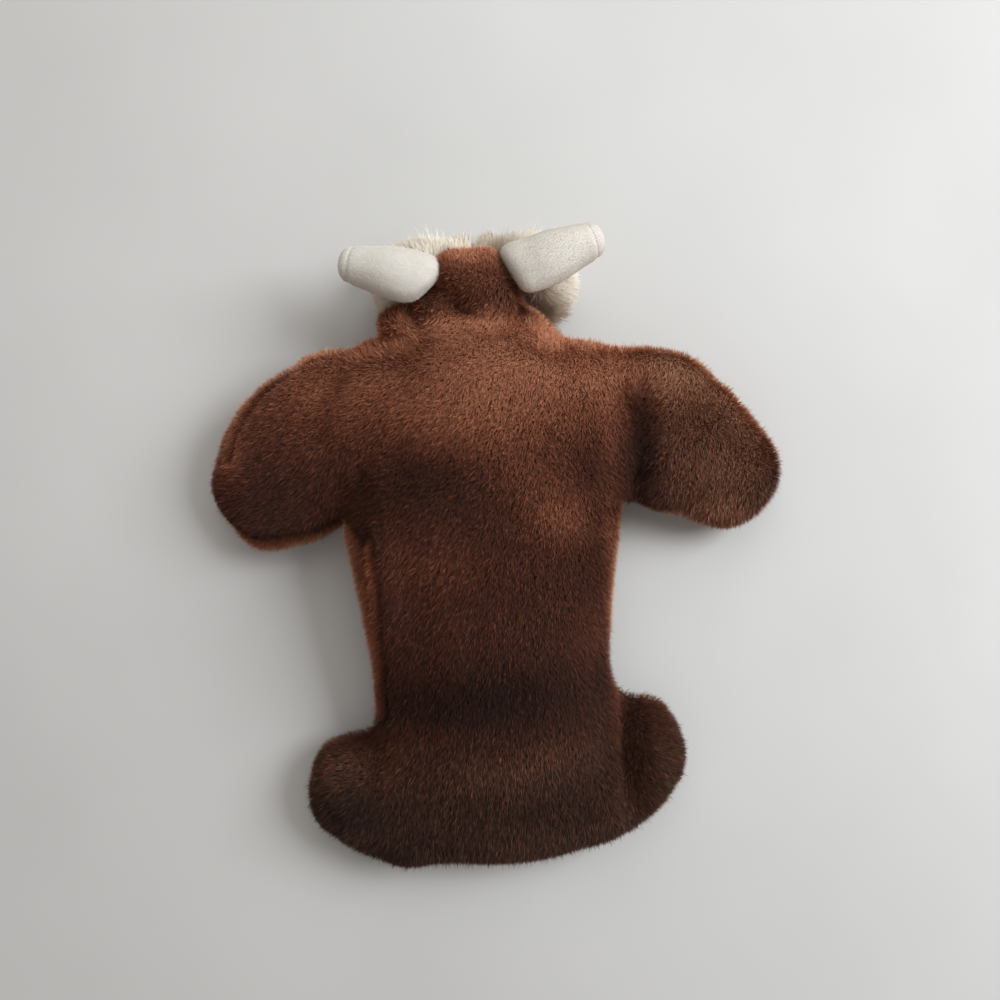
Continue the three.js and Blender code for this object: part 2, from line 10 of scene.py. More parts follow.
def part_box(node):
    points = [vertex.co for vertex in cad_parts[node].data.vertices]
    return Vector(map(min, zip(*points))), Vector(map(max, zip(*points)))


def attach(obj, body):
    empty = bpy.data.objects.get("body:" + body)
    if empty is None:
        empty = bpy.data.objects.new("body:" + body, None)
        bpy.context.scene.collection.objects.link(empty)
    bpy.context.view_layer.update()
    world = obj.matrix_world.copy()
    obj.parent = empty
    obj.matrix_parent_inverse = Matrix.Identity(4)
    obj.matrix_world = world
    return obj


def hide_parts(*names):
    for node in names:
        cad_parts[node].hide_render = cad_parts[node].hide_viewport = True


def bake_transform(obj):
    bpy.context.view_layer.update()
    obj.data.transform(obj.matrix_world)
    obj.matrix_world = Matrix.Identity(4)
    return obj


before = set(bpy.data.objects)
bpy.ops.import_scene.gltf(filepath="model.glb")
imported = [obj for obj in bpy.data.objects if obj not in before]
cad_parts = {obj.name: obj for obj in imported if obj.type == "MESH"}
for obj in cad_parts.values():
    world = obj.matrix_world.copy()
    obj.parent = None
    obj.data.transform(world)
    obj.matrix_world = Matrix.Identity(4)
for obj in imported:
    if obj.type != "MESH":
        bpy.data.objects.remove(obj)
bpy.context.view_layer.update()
scene = bpy.context.scene
MM = 0.001


# The table: a pale cotton cloth under the toy, a broad soft lamp on the toy's
# right, and a camera straight above it, turned a little as the toy lies askew.

class Sock:
    """A socket of a node tree. Sums and products of sockets add Math nodes."""

    def __init__(self, tree, socket):
        self.tree, self.socket = tree, socket

    def math(self, operation, other, turned=False):
        made = self.tree.nodes.new("ShaderNodeMath")
        made.operation = operation
        for slot, value in zip(made.inputs, (other, self) if turned else (self, other)):
            if isinstance(value, Sock):
                self.tree.links.new(value.socket, slot)
            else:
                slot.default_value = value
        return Sock(self.tree, made.outputs[0])

    def __add__(self, other):
        return self.math("ADD", other)

    def __sub__(self, other):
        return self.math("SUBTRACT", other)

    def __rsub__(self, other):
        return self.math("SUBTRACT", other, True)

    def __mul__(self, other):
        return self.math("MULTIPLY", other)

    __radd__, __rmul__ = __add__, __mul__


class Wiring:
    """The nodes of one tree: add() makes one, sets it up and joins its sockets."""

    def __init__(self, tree):
        self.tree = tree

    def add(self, kind, settings=(), sockets=(), out=0):
        made = self.tree.nodes.new(kind)
        for name, value in dict(settings).items():
            if name == "stops":
                ramp = made.color_ramp
                while len(ramp.elements) < len(value):
                    ramp.elements.new(0.5)
                for element, (place, colour) in zip(ramp.elements, value):
                    element.position, element.color = place, (*colour, 1)
            else:
                setattr(made, name, value)
        for name, value in dict(sockets).items():
            slot = made.inputs[name]
            if isinstance(value, Sock):
                self.tree.links.new(value.socket, slot)
            else:
                slot.default_value = value
        return Sock(self.tree, made.outputs[out]) if len(made.outputs) else made

    def noise(self, scale, detail, distortion=0.0):
        """Noise that stays put on a piece."""
        place = self.add("ShaderNodeTexCoord", out="Object")
        return self.add("ShaderNodeTexNoise", {}, {"Vector": place, "Scale": scale, "Detail": detail,
                                                   "Distortion": distortion})

    def ramp(self, value, *stops):
        """A colour for each value, through stops of a value and a colour."""
        return self.add("ShaderNodeValToRGB", {"stops": stops}, {"Fac": value})

    def bump(self, height, strength, distance):
        return self.add("ShaderNodeBump", {}, {"Height": height, "Strength": strength,
                                               "Distance": distance})


def srgb(red, green, blue):
    """A colour given as screen values, 0 to 255, as the linear one that shaders use."""
    return tuple((v / 255 / 12.92) if v < 11 else ((v / 255 + 0.055) / 1.055) ** 2.4
                 for v in (red, green, blue))


def finish(name, roughness, sheen=0, coat=0):
    """A new material: its wiring and its Principled shader, with the fixed numbers set."""
    made = bpy.data.materials.new(name)
    made.use_nodes = True
    shader = made.node_tree.nodes["Principled BSDF"]
    shader.inputs["Roughness"].default_value = roughness
    shader.inputs["Sheen Weight"].default_value = sheen
    shader.inputs["Coat Weight"].default_value = coat
    return made, Wiring(made.node_tree), shader


def feed(wiring, shader, **sockets):
    """Joins what changes over a surface to the shader's sockets of these names."""
    for name, value in sockets.items():
        wiring.tree.links.new(value.socket, shader.inputs[name.replace("_", " ")])


def stand(name, mesh):
    """A mesh, a camera or a lamp as an object at the origin, in the scene."""
    thing = bpy.data.objects.new(name, mesh)
    scene.collection.objects.link(thing)
    return thing


TABLE_REACH = 3.0
CAMERA_PLACE = (6.7 * MM, 29.7 * MM, 450 * MM)
CAMERA_ROLL = -0.0557
# The view is 500 mm wide near the middle of the toy's height, 422 mm below the camera.
CAMERA_ANGLE = 2 * math.atan(250 / 422)
# Each lamp: its place in metres, its width, its power in watts and its tint.
LAMPS = {"window_lamp": ((1.05, 0.36, 0.86), 0.75, 17.2, (0.97, 1.0, 1.02)),
         "fill_lamp": ((0.1, 0.8, 0.8), 0.9, 3.0, (1.0, 0.98, 0.95))}
SKY_TINT, SKY_STRENGTH = (1.0, 0.92, 0.87, 1), 0.33

table_mesh = bpy.data.meshes.new("table_cloth")
table_mesh.from_pydata([(x * TABLE_REACH, y * TABLE_REACH, 0)
                        for x, y in ((-1, -1), (1, -1), (1, 1), (-1, 1))], [], [(0, 1, 2, 3)])
cotton, wires, shader = finish("pale_cotton", 0.9)
feed(wires, shader, Base_Color=wires.ramp(wires.noise(5.0, 3.0), (0.3, srgb(207, 208, 207)),
                                          (0.7, srgb(215, 216, 215))))
table_mesh.materials.append(cotton)
stand("table_cloth", table_mesh)

camera_data = bpy.data.cameras.new("camera")
camera_data.angle = CAMERA_ANGLE
camera_data.clip_start = 0.01
camera = stand("camera", camera_data)
camera.location = CAMERA_PLACE
camera.rotation_euler = (0, 0, CAMERA_ROLL)
scene.camera = camera

for name, (spot, width, watts, tint) in LAMPS.items():
    lamp_data = bpy.data.lights.new(name, "AREA")
    lamp_data.size, lamp_data.energy, lamp_data.color = width, watts, tint
    lamp = stand(name, lamp_data)
    lamp.location = spot
    lamp.rotation_euler = Vector(spot).to_track_quat("Z", "Y").to_euler()

scene.world = bpy.data.worlds.new("studio")
scene.world.use_nodes = True
backdrop = scene.world.node_tree.nodes["Background"]
backdrop.inputs["Color"].default_value = SKY_TINT
backdrop.inputs["Strength"].default_value = SKY_STRENGTH
scene.view_settings.view_transform = "Standard"


# The brown cover: back, belly, hood, flippers and flukes sewn from plush and
# stuffed. It is fused from the CAD panels as a volume, and parted where the
# flippers, flukes and head bend.

PILE_ROOM, SLACK = 2.2, 1.0
CLOTH_REST = 0.8 * MM
COVER_STEP, VOLUME_ROOM = 2 * MM, 24 * MM
PLUMP_VOXEL, PLUMP_PRESSURE, PLUMP_FRAMES, PLUMP_LIMIT = 5 * MM, 4.0, 20, 2.5 * MM
LIMBS = ("flipper_left", "flipper_right", "fluke_left", "fluke_right")
COVER_NODES = {"torso": ["back_panel", "belly_panel"],
               "head": ["head_upper_panel", "head_lower_panel"],
               **{limb: [limb + "_upper_panel", limb + "_lower_panel"] for limb in LIMBS}}
STUFFED = {body: "body" if body == "torso" else body for body in COVER_NODES}


def plain_mesh(thing):
    """The object as its modifiers leave it, as a mesh of its own."""
    bpy.context.view_layer.update()
    graph = bpy.context.evaluated_depsgraph_get()
    return bpy.data.meshes.new_from_object(thing.evaluated_get(graph), depsgraph=graph)


def as_mesh(made, name):
    """What was built in a bmesh, as a mesh. The bmesh is freed."""
    mesh = bpy.data.meshes.new(name)
    made.to_mesh(mesh)
    made.free()
    return mesh


def remeshed(mesh, voxel):
    """The mesh drawn again as one closed skin of even quads."""
    thing = stand(mesh.name, mesh)
    remesh = thing.modifiers.new("remesh", "REMESH")
    remesh.mode, remesh.voxel_size = "VOXEL", voxel
    skin = plain_mesh(thing)
    bpy.data.objects.remove(thing)
    return skin


def fuse(name, nodes, voxel):
    """The CAD nodes as one closed skin of small quads."""
    joined = bmesh.new()
    for node in nodes:
        joined.from_mesh(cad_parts[node].data)
    bmesh.ops.remove_doubles(joined, verts=joined.verts, dist=1e-6)
    return remeshed(as_mesh(joined, name), voxel)


def points_of(mesh):
    flat = np.empty(len(mesh.vertices) * 3)
    mesh.vertices.foreach_get("co", flat)
    return flat.reshape(-1, 3)


def normals_of(mesh):
    flat = np.empty(len(mesh.vertices) * 3, dtype=np.float32)
    mesh.vertex_normals.foreach_get("vector", flat)
    return flat.reshape(-1, 3).astype(float)


def edges_of(mesh):
    flat = np.empty(len(mesh.edges) * 2, dtype=np.int32)
    mesh.edges.foreach_get("vertices", flat)
    return flat.reshape(-1, 2)


def move_to(mesh, points):
    mesh.vertices.foreach_set("co", np.ascontiguousarray(points, dtype=np.float32).ravel())
    mesh.update()


def even_out(values, edges, rounds, pull=0.5):
    """Each value drawn towards the mean of its neighbours, again and again."""
    first, second = edges.T
    size = len(values)
    count = np.bincount(edges.ravel(), minlength=size)[:, None]
    values = values.reshape(size, -1)
    for _ in range(rounds):
        mean = np.stack([np.bincount(first, column[second], size)
                         + np.bincount(second, column[first], size)
                         for column in values.T], 1) / count
        values = values + pull * (mean - values)
    return values


def soft_normals(mesh, rounds):
    """The way out of the mesh at each point, evened out."""
    ways = even_out(normals_of(mesh), edges_of(mesh), rounds)
    return ways / np.linalg.norm(ways, axis=1)[:, None]


def rise(value, low, high):
    """0 below low, 1 above high, and a smooth rise between them."""
    part = np.clip((value - low) / (high - low), 0, 1)
    return part * part * (3 - 2 * part)


def hill(value, reach):
    """1 where the value is 0, falling off smoothly over about this reach."""
    return np.exp(-(value / reach) ** 2)


class Volume:
    """A box of space as an even grid, on which forms are distances in mm: negative inside."""

    def __init__(self, low, high, step):
        self.step = step
        self.first = [math.floor(v / step) for v in low]
        self.size = [math.ceil(v / step) - f + 1 for v, f in zip(high, self.first)]
        self.transform = openvdb.createLinearTransform(voxelSize=step)
        self.x, self.y, self.z = np.meshgrid(
            *[(np.arange(n) + f) * step / MM for f, n in zip(self.first, self.size)], indexing="ij")

    def form(self, nodes, reach=32 * MM):
        """How far each place is from the outside of these CAD nodes, taken as one solid."""
        skin = fuse("form", nodes, 0.8 * self.step)
        skin.calc_loop_triangles()
        corners = np.empty(len(skin.loop_triangles) * 3, dtype=np.int32)
        skin.loop_triangles.foreach_get("vertices", corners)
        grid = openvdb.FloatGrid.createLevelSetFromPolygons(
            points_of(skin).astype(np.float32), triangles=corners.reshape(-1, 3).astype(np.uint32),
            transform=self.transform, halfWidth=reach / self.step)
        distances = np.zeros(self.size, dtype=np.float32)
        grid.copyToArray(distances, ijk=self.first)
        bpy.data.meshes.remove(skin)
        return distances / MM

    def ball(self, middle, radii):
        """A rounded lump as a form, near enough a distance."""
        apart = np.sqrt(sum(((p - m) / r) ** 2
                            for p, m, r in zip((self.x, self.y, self.z), middle, radii)))
        return (apart - 1) * min(radii)

    def skin(self, name, form, level=0, rounds=0):
        """The surface where the form has this distance, as a smooth mesh, evened out."""
        grid = openvdb.FloatGrid(100.0)
        grid.copyFromArray(np.ascontiguousarray(form, dtype=np.float32), ijk=self.first)
        grid.transform = self.transform
        points, quads = grid.convertToQuads(isovalue=level)
        mesh = bpy.data.meshes.new(name)
        mesh.from_pydata(points.tolist(), [], quads.tolist())
        made = bmesh.new()
        made.from_mesh(mesh)
        bmesh.ops.recalc_face_normals(made, faces=made.faces)
        made.to_mesh(mesh)
        made.free()
        move_to(mesh, even_out(points_of(mesh), edges_of(mesh), rounds))
        mesh.shade_smooth()
        return mesh


def plumped(mesh):
    """How far the stuffing swells a cover out at each point: a cloth simulation on a coarse copy."""
    coarse = stand("plumping", remeshed(mesh.copy(), PLUMP_VOXEL))
    start, ways = points_of(coarse.data), normals_of(coarse.data)
    cloth = coarse.modifiers.new("cloth", "CLOTH")
    cloth.settings.use_pressure = True
    cloth.settings.uniform_pressure_force = PLUMP_PRESSURE
    cloth.settings.effector_weights.gravity = 0
    for moment in range(1, PLUMP_FRAMES + 1):
        scene.frame_set(moment)
    pushed = ((points_of(plain_mesh(coarse)) - start) * ways).sum(1)
    scene.frame_set(1)
    pushed = even_out(np.clip(pushed, 0, PLUMP_LIMIT), edges_of(coarse.data), 2)[:, 0]
    bpy.data.objects.remove(coarse)
    nearby = kdtree.KDTree(len(start))
    for number, place in enumerate(start):
        nearby.insert(place, number)
    nearby.balance()
    return np.array([np.mean([pushed[number] for _, number, _ in nearby.find_n(place, 4)])
                     for place in points_of(mesh)])


def sewn(first, second, softness):
    """Two forms joined, with a soft fillet in the valley between them."""
    near = np.maximum(softness - np.abs(first - second), 0) / softness
    return np.minimum(first, second) - near * near * softness / 4


def from_line(points, line):
    """How far points lie from a line drawn on the plan, in mm, and whether on its left."""
    x, y = points[:, 0] / MM, points[:, 1] / MM
    nearest, left = np.full(len(points), np.inf), np.zeros(len(points), bool)
    for (ax, ay), (bx, by) in zip(line, line[1:]):
        share = np.clip(((x - ax) * (bx - ax) + (y - ay) * (by - ay))
                        / ((bx - ax) ** 2 + (by - ay) ** 2), 0, 1)
        dx, dy = x - ax - share * (bx - ax), y - ay - share * (by - ay)
        distance = np.hypot(dx, dy)
        closer = distance < nearest
        nearest = np.where(closer, distance, nearest)
        left = np.where(closer, (bx - ax) * dy - (by - ay) * dx > 0, left)
    return nearest, left


# Lumps that fill out the hood: middle and radii, in mm.
HOOD_LUMPS = [
    # The crown
    ((-12, 141, 48), (9, 12, 12.5)),
    ((-3, 140.2, 48), (10, 12, 12.5)),
    ((7, 141.8, 48), (9, 12, 12.5)),
    # The neck
    ((10, 129, 46), (13.5, 11, 13)),
    ((-22, 125, 43), (12, 8, 11)),
    # Round the eyes
    ((-8, 146.5, 34.5), (9, 6, 8.5)),
    ((8, 146.5, 34.5), (9, 6, 8.5)),
]
# Lumps that fill out the flippers and a cheek: middle, radii and how softly each is sewn in, in mm.
EDGE_LUMPS = [
    # The left flipper's lower edge, then its upper edge
    ((-112, 26, 14), (15, 13, 12), 12),
    ((-92, 28, 18), (15, 12, 12), 12),
    ((-78, 37, 21), (10, 9, 11), 12),
    ((-76, 99, 29), (14, 9, 9), 12),
    ((-91, 88, 28), (13, 7.5, 9), 12),
    # The right flipper's upper edge, its tip and its armpit
    ((80, 91, 30), (16, 8, 9), 12),
    ((96, 86, 28), (13, 9, 10), 12),
    ((135, 37, 20), (14, 16, 11), 12),
    ((69.5, 36, 22), (10, 9.5, 11), 10),
    # The cheek on the left
    ((-38.5, 119.5, 34), (13.5, 10, 12), 5),
]
TAIL_HEM = ((-2, -129, 15), (66, 21, 13))

boxes = [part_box(node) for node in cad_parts]
toy = Volume(np.min([box[0] for box in boxes], axis=0) - VOLUME_ROOM,
             np.max([box[1] for box in boxes], axis=0) + VOLUME_ROOM, COVER_STEP)
forms = {body: toy.form(nodes + [STUFFED[body] + "_filling"]) for body, nodes in COVER_NODES.items()}

# The hood is drawn in beside the tusks.
hood = (forms["head"] + 6 * rise(toy.x, 18, 30) * rise(toy.y, 112, 122)
        + 4 * rise(-toy.x, 20, 30) * rise(toy.y, 122, 128) + 1.2 * rise(toy.y, 138, 147))
for middle, radii in HOOD_LUMPS:
    hood = sewn(hood, toy.ball(middle, radii), 6)

# The body is fuller on the left, where its seam has rolled up.
fuller = (4.8 - 1.2 * hill(toy.y + 66, 20)) * rise(-toy.x, 38, 52)
whole = forms["torso"] - fuller * rise(toy.y, -100, -75) * (1 - rise(toy.y, 15, 35))
whole = sewn(whole, hood, 12)
shoulder = 0.25 + 0.75 * (1 - rise(toy.y, 92, 112))
whole = sewn(whole, forms["flipper_left"], 18 + 28 * rise(toy.y, 35, 62) * shoulder)
whole = sewn(whole, forms["flipper_right"], 9 + 23 * rise(toy.y, 32, 54) * shoulder)
for middle, radii, softness in EDGE_LUMPS:
    whole = sewn(whole, toy.ball(middle, radii), softness)
whole = sewn(whole, forms["fluke_left"], 18 + 20 * (1 - rise(toy.y, -112, -92)))
whole = sewn(whole, forms["fluke_right"], 22 + 10 * (1 - rise(toy.y, -122, -104)))
whole = sewn(whole, toy.ball(*TAIL_HEM), 12)

cover = toy.skin("cover", whole, -(PILE_ROOM + SLACK), 6)
edges = edges_of(cover)
points = points_of(cover) + normals_of(cover) * plumped(cover)[:, None]
move_to(cover, points)

# Creases in the upper cloth: a line on the plan, how deep, and how wide to its left and right, in mm.
CREASES = {
    "right flipper's root": ([(78, 82), (77, 70), (76.5, 50), (75, 30)], 6.0, 9, 4),
    "right fluke's root": ([(60.5, -66), (59.5, -95), (58, -122)], 5.0, 7, 2.5),
    "neck": ([(-30, 119), (-16, 124), (-4, 126), (8, 126), (20, 122)], 4.0, 6, 6),
    "beside the cheek": ([(-30, 124), (-27, 118), (-25, 112)], 2.2, 4, 4),
    "collar on the right": ([(18, 132), (30, 121), (43, 110)], 1.6, 2.5, 2.5),
    "hollow of the back": ([(-44, 60), (-24, 52)], 2.5, 12, 12),
    "left fluke's root": ([(-60, -78), (-58, -100)], 1.5, 7, 7),
}
upward = rise(even_out(normals_of(cover), edges, 3)[:, 2], 0.0, 0.4)
for line, depth, left_width, right_width in CREASES.values():
    distance, left = from_line(points, line)
    points[:, 2] -= depth * MM * hill(distance, np.where(left, left_width, right_width)) * upward
points = even_out(points, edges, 2)
points[:, 2] = np.maximum(points[:, 2], CLOTH_REST)
move_to(cover, points)


def keep(mesh, **measures):
    """Values for each point of the mesh, kept on it for the pile to read."""
    for name, values in measures.items():
        kind, field = ("FLOAT", "value") if values.ndim == 1 else ("FLOAT_VECTOR", "vector")
        layer = mesh.attributes.new(name, kind, "POINT")
        layer.data.foreach_set(field, np.ascontiguousarray(values, dtype=np.float32).ravel())


# The panels meet where the cover turns over its edge. On the left the seam has rolled up on to
# the back, so that a strip of the belly panel shows beside it. Sizes are in mm.
SEAM_DEPTH, SEAM_WIDTH = 1.4, 1.3
FLIPPER_SEAM = [(-64, 108.5), (-84, 103), (-98, 95.5), (-108.5, 87.5), (-116.5, 79), (-122, 69), (-125, 58)]
EYE_SPOTS, EYE_BARE = [(-8, 150, 34.5), (8, 150, 34.5)], 7
normals = soft_normals(cover, 6)
x, y = points[:, 0] / MM, points[:, 1] / MM
left_side = rise(-x, 25, 45) * rise(y, -88, -70) * (1 - rise(y, 15, 35))
right_neck = rise(x, 12, 20) * rise(y, 104, 112) * (1 - rise(x, 46, 56))
roll = (0.78 - 0.06 * hill(y + 66, 22)) * left_side + 0.4 * right_neck
facing_up = even_out(normals[:, 2] - roll, edges, 2)[:, 0]
first, second = edges.T
slope = np.abs(facing_up[first] - facing_up[second]) / np.linalg.norm(points[first] - points[second], axis=1)
steepest = np.zeros(len(points))
np.maximum.at(steepest, first, slope)
np.maximum.at(steepest, second, slope)
seam_away = np.abs(facing_up) / np.maximum(even_out(steepest, edges, 3)[:, 0], 4.0) / MM
seam_pull = 0.15 + 0.85 * np.clip(roll / 0.5, 0, 1) * (1 - 0.5 * rise(y, -45, 5))
flipper_away, within = from_line(points, FLIPPER_SEAM)
flipper_away += 30 * (normals[:, 2] < 0.1)
seam_away = np.minimum(seam_away, flipper_away)
seam_pull = np.maximum(seam_pull, 1.5 * hill(flipper_away, 7))
groove = SEAM_DEPTH * MM * seam_pull * hill(seam_away, SEAM_WIDTH + 0.5 * seam_pull)
points -= normals * groove[:, None]
move_to(cover, points)

# The pile is shorter in the seam, round the eyes and on the hood, and longer on the tail.
sunk = points / MM
near_eye = sum(hill(np.linalg.norm(sunk - spot, axis=1), EYE_BARE) for spot in EYE_SPOTS)
pile_length = ((1 - 0.45 * seam_pull * hill(seam_away, 2.4)) * (1 - 0.6 * near_eye)
               * (1 - 0.35 * rise(y, 122, 136)) * (1.14 - 0.14 * rise(y, -125, -75)))

# The way the pile has been stroked: down the back, round the flippers, out along the flukes.
nap = np.tile((-0.45, -0.9, 0.0), (len(points), 1))
for mask, way in (
        (1 - rise(y, -60, -10), (0.0, -1.0, 0)),
        (rise(-x, 60, 90) * rise(y, 0, 20), (-0.5, -0.8, 0)),
        (rise(-x, 70, 105) * (1 - rise(y, 40, 70)) * rise(y, 0, 20), (-1.0, -0.35, 0)),
        (rise(x, 70, 90) * rise(y, 0, 20), (-0.6, -0.75, 0)),
        (rise(-x, 55, 75) * (1 - rise(y, -70, -60)), (-0.9, -0.5, 0)),
        (rise(x, 55, 75) * (1 - rise(y, -70, -60)), (0.8, -0.45, 0)),
        (rise(y, 94, 106) * rise(np.abs(x), 16, 34), (0.05, 0.25, 0)),
        (rise(y, 126, 140), (0.0, 0.8, 0))):
    nap += mask[:, None] * (np.array(way) - nap)

# Along the edges it stands up and looks fuzzy, and on the shoulders it lies flatter. On the tail
# some fibres take a paler olive hue; on the right flipper and along the edges the same hue is painted light.
rim = rise(normals[:, 2], -0.55, -0.2) * (1 - rise(normals[:, 2], 0.2, 0.6))
upright = 0.9 * rim + (1 - rim) * (0.3 * (1 - rise(y, -110, -75)) - 0.45 * rise(y, 55, 85))
worn = 0.75 * (1 - rise(y, -110, -72)) + 0.5 * rise(x, 76, 96) * rise(y, 0, 20) + 0.5 * rim

# Painted light and shade: the pile's shade is paler where it is stroked towards the light, on the
# lit upper back and along the rims, and darker where it stands up, on the lower back, in the creases
# and in the seams. Each patch: how much paler, its middle on the plan, its reach along and across,
# and its slant in degrees.
PATCHES = [
    # Head, neck and shoulders
    (-0.14, -3, 127, 27, 7, 0), (0.3, -3, 145, 20, 8, 0), (-0.05, -41, 117, 11, 9, 0),
    (0.14, -6, 116, 34, 5, 0), (0.2, 42, 96, 42, 13, -10), (-0.14, -31, 96, 11, 11, 0),
    (-0.13, -62, 74, 36, 22, 0), (0.09, 0, 68, 28, 18, 0),
    # Left flipper
    (-0.04, -60, 50, 18, 24, 0), (-0.15, -108, 52, 26, 34, 0), (-0.1, -74, 103, 14, 7, 10),
    (-0.1, -100, 80, 18, 16, 40), (0.2, -122, 62, 8, 22, 0),
    # Right flipper
    (-0.46, 77.5, 60, 8.5, 27, 0), (-0.12, 97, 70, 20, 20, 0), (0.2, 118, 38, 26, 14, 0),
    (0.08, 100, 90, 20, 7, -25), (0.28, 137, 66, 13, 26, 30), (0.25, 120, 18, 24, 9, 0),
    # Back
    (-0.18, -30, 44, 26, 12, -8), (0.3, 36, 22, 18, 15, 0), (-0.08, 52, 46, 12, 12, 0),
    (0.12, 20, 40, 16, 12, 0), (0.12, -28, 2, 24, 14, 0), (0.32, 59, -15, 5, 55, 0),
    (0.08, 45, -40, 10, 26, -20), (-0.23, -8, -64, 60, 16, 5), (0.12, -28, -80, 16, 8, 0),
    # Tail and flukes
    (0.14, 8, -98, 40, 11, 8), (-0.04, 66, -100, 7, 24, 0), (0.1, 78, -98, 14, 22, 0),
    (-0.2, -74, -121, 16, 10, 0), (0.14, -74, -98, 22, 12, 0), (0.2, -50, -90, 10, 14, 0),
    (-0.05, 26, -121, 24, 10, 0), (0.1, 64, -122, 16, 12, 0), (0.2, 80, -72, 18, 7, 0),
    (-0.12, -50, -140, 22, 9, 0),
]
tone = 0.38 + 0.45 * rise(y, 25, 92) * (1 - 0.5 * rise(y, 114, 126)) - 0.08 * (1 - rise(y, -110, -20))
for paler, middle_x, middle_y, reach_along, reach_across, slant in PATCHES:
    turn = math.radians(slant)
    dx, dy = sunk[:, 0] - middle_x, sunk[:, 1] - middle_y
    along = dx * math.cos(turn) + dy * math.sin(turn)
    across = dy * math.cos(turn) - dx * math.sin(turn)
    tone += paler * hill(along, reach_along) * hill(across, reach_across)
# Painted light: the strip of belly panel on the left and the edge beside the flipper's seam are paler, and
# the rims paler still; painted shade darkens the seams.
tone += 0.3 * left_side * (facing_up < 0) + 0.24 * ~within * hill(flipper_away, 6)
tone += 0.26 * rim - 0.28 * seam_pull * hill(seam_away, 1.6)
# Painted light: along the rims the fibres are coloured as light at the root as at the tip, a glow through
# the fuzz.
keep(cover, skin_normal=normals, pile_length=pile_length, nap=nap, upright=upright, fuzz=0.8 * rim,
     worn=np.clip(worn, 0, 1), tone=tone)

# The backing cloth takes the pile's painted light and shade, with a mottle.
plush_backing, wires, shader = finish("brown_plush_backing", 0.95, sheen=0.1)
mottle = wires.noise(420.0, 4.0)
painted_shading_fac = wires.add("ShaderNodeAttribute", {"attribute_name": "tone"}, out="Fac")
feed(wires, shader, Normal=wires.bump(mottle, 0.4, 0.5 * MM), Base_Color=wires.ramp(
    painted_shading_fac * 0.8 + mottle * 0.2, (0.2, srgb(26, 15, 12)), (0.5, srgb(54, 30, 22)),
    (0.95, srgb(116, 68, 49))))

# Where the cover is parted: the way out to the limb, how far out the plane lies and the stretch
# beyond it that bends, in mm, and which places belong to that limb.
OUT_LEFT, OUT_RIGHT, OUT_FRONT = Vector((-1, 0, 0)), Vector((1, 0, 0)), Vector((0, 1, 0))
PARTINGS = {
    "flipper_left": (OUT_LEFT, 68, 26, lambda p: p.y > 0),
    "flipper_right": (OUT_RIGHT, 68, 26, lambda p: p.y > 0),
    "fluke_left": (OUT_LEFT, 57, 16, lambda p: p.y < -60 * MM),
    "fluke_right": (OUT_RIGHT, 57, 16, lambda p: p.y < -60 * MM),
    "head": (OUT_FRONT, 109, 18, lambda p: p.y > 90 * MM and abs(p.x) < 68 * MM),
}
UNDERSIDE_PILE = 0.34


def closed(piece, name):
    """A cut piece with its openings filled, as a smooth mesh."""
    bmesh.ops.holes_fill(piece, edges=[e for e in piece.edges if e.is_boundary])
    bmesh.ops.triangulate(piece, faces=[f for f in piece.faces if len(f.verts) > 4])
    bmesh.ops.recalc_face_normals(piece, faces=piece.faces)
    mesh = as_mesh(piece, name)
    mesh.shade_smooth()
    return mesh


def part_cover(mesh):
    """The cover's faces sorted by body, cut cleanly along the parting planes."""
    sheet = bmesh.new()
    sheet.from_mesh(mesh)
    side = sheet.faces.layers.int.new("side")
    for number, (outward, place, _, near) in enumerate(PARTINGS.values(), 1):
        middle = outward * place * MM
        nearby = [f for f in sheet.faces if near(f.calc_center_median())]
        bmesh.ops.bisect_plane(sheet, dist=1e-7, plane_co=middle, plane_no=outward,
                               geom=nearby + list({e for f in nearby for e in f.edges})
                               + list({v for f in nearby for v in f.verts}))
        for face in sheet.faces:
            centre = face.calc_center_median()
            if near(centre) and (centre - middle).dot(outward) > 0:
                face[side] = number
    parted = {}
    for number, body in enumerate(("torso", *PARTINGS)):
        piece = sheet.copy()
        mark = piece.faces.layers.int["side"]
        bmesh.ops.delete(piece, context="FACES", geom=[f for f in piece.faces if f[mark] != number])
        planted = piece.faces.layers.float.new("pile_here")
        piece.normal_update()
        for face in piece.faces:
            face[planted] = 1 if face.normal.z > -0.35 else UNDERSIDE_PILE
        parted[body] = closed(piece, body + "_cover")
    sheet.free()
    return parted


covers = {}
for body, mesh in part_cover(cover).items():
    mesh.materials.append(plush_backing)
    covers[body] = stand(body + "_cover", mesh)


# The plush pile: short brown fibres standing in the cover's backing cloth and
# leaning along its nap, in small tufts, with painted shade darkening them towards their roots.

PILE_SIZES = {"Density": "Float", "Length": "Float", "Width": "Float", "Lean": "Float", "Unruly": "Float",
              "Tuft": "Float", "Stray": "Float", "Seed": "Int"}
PILE_FLOOR = 0.15 * MM


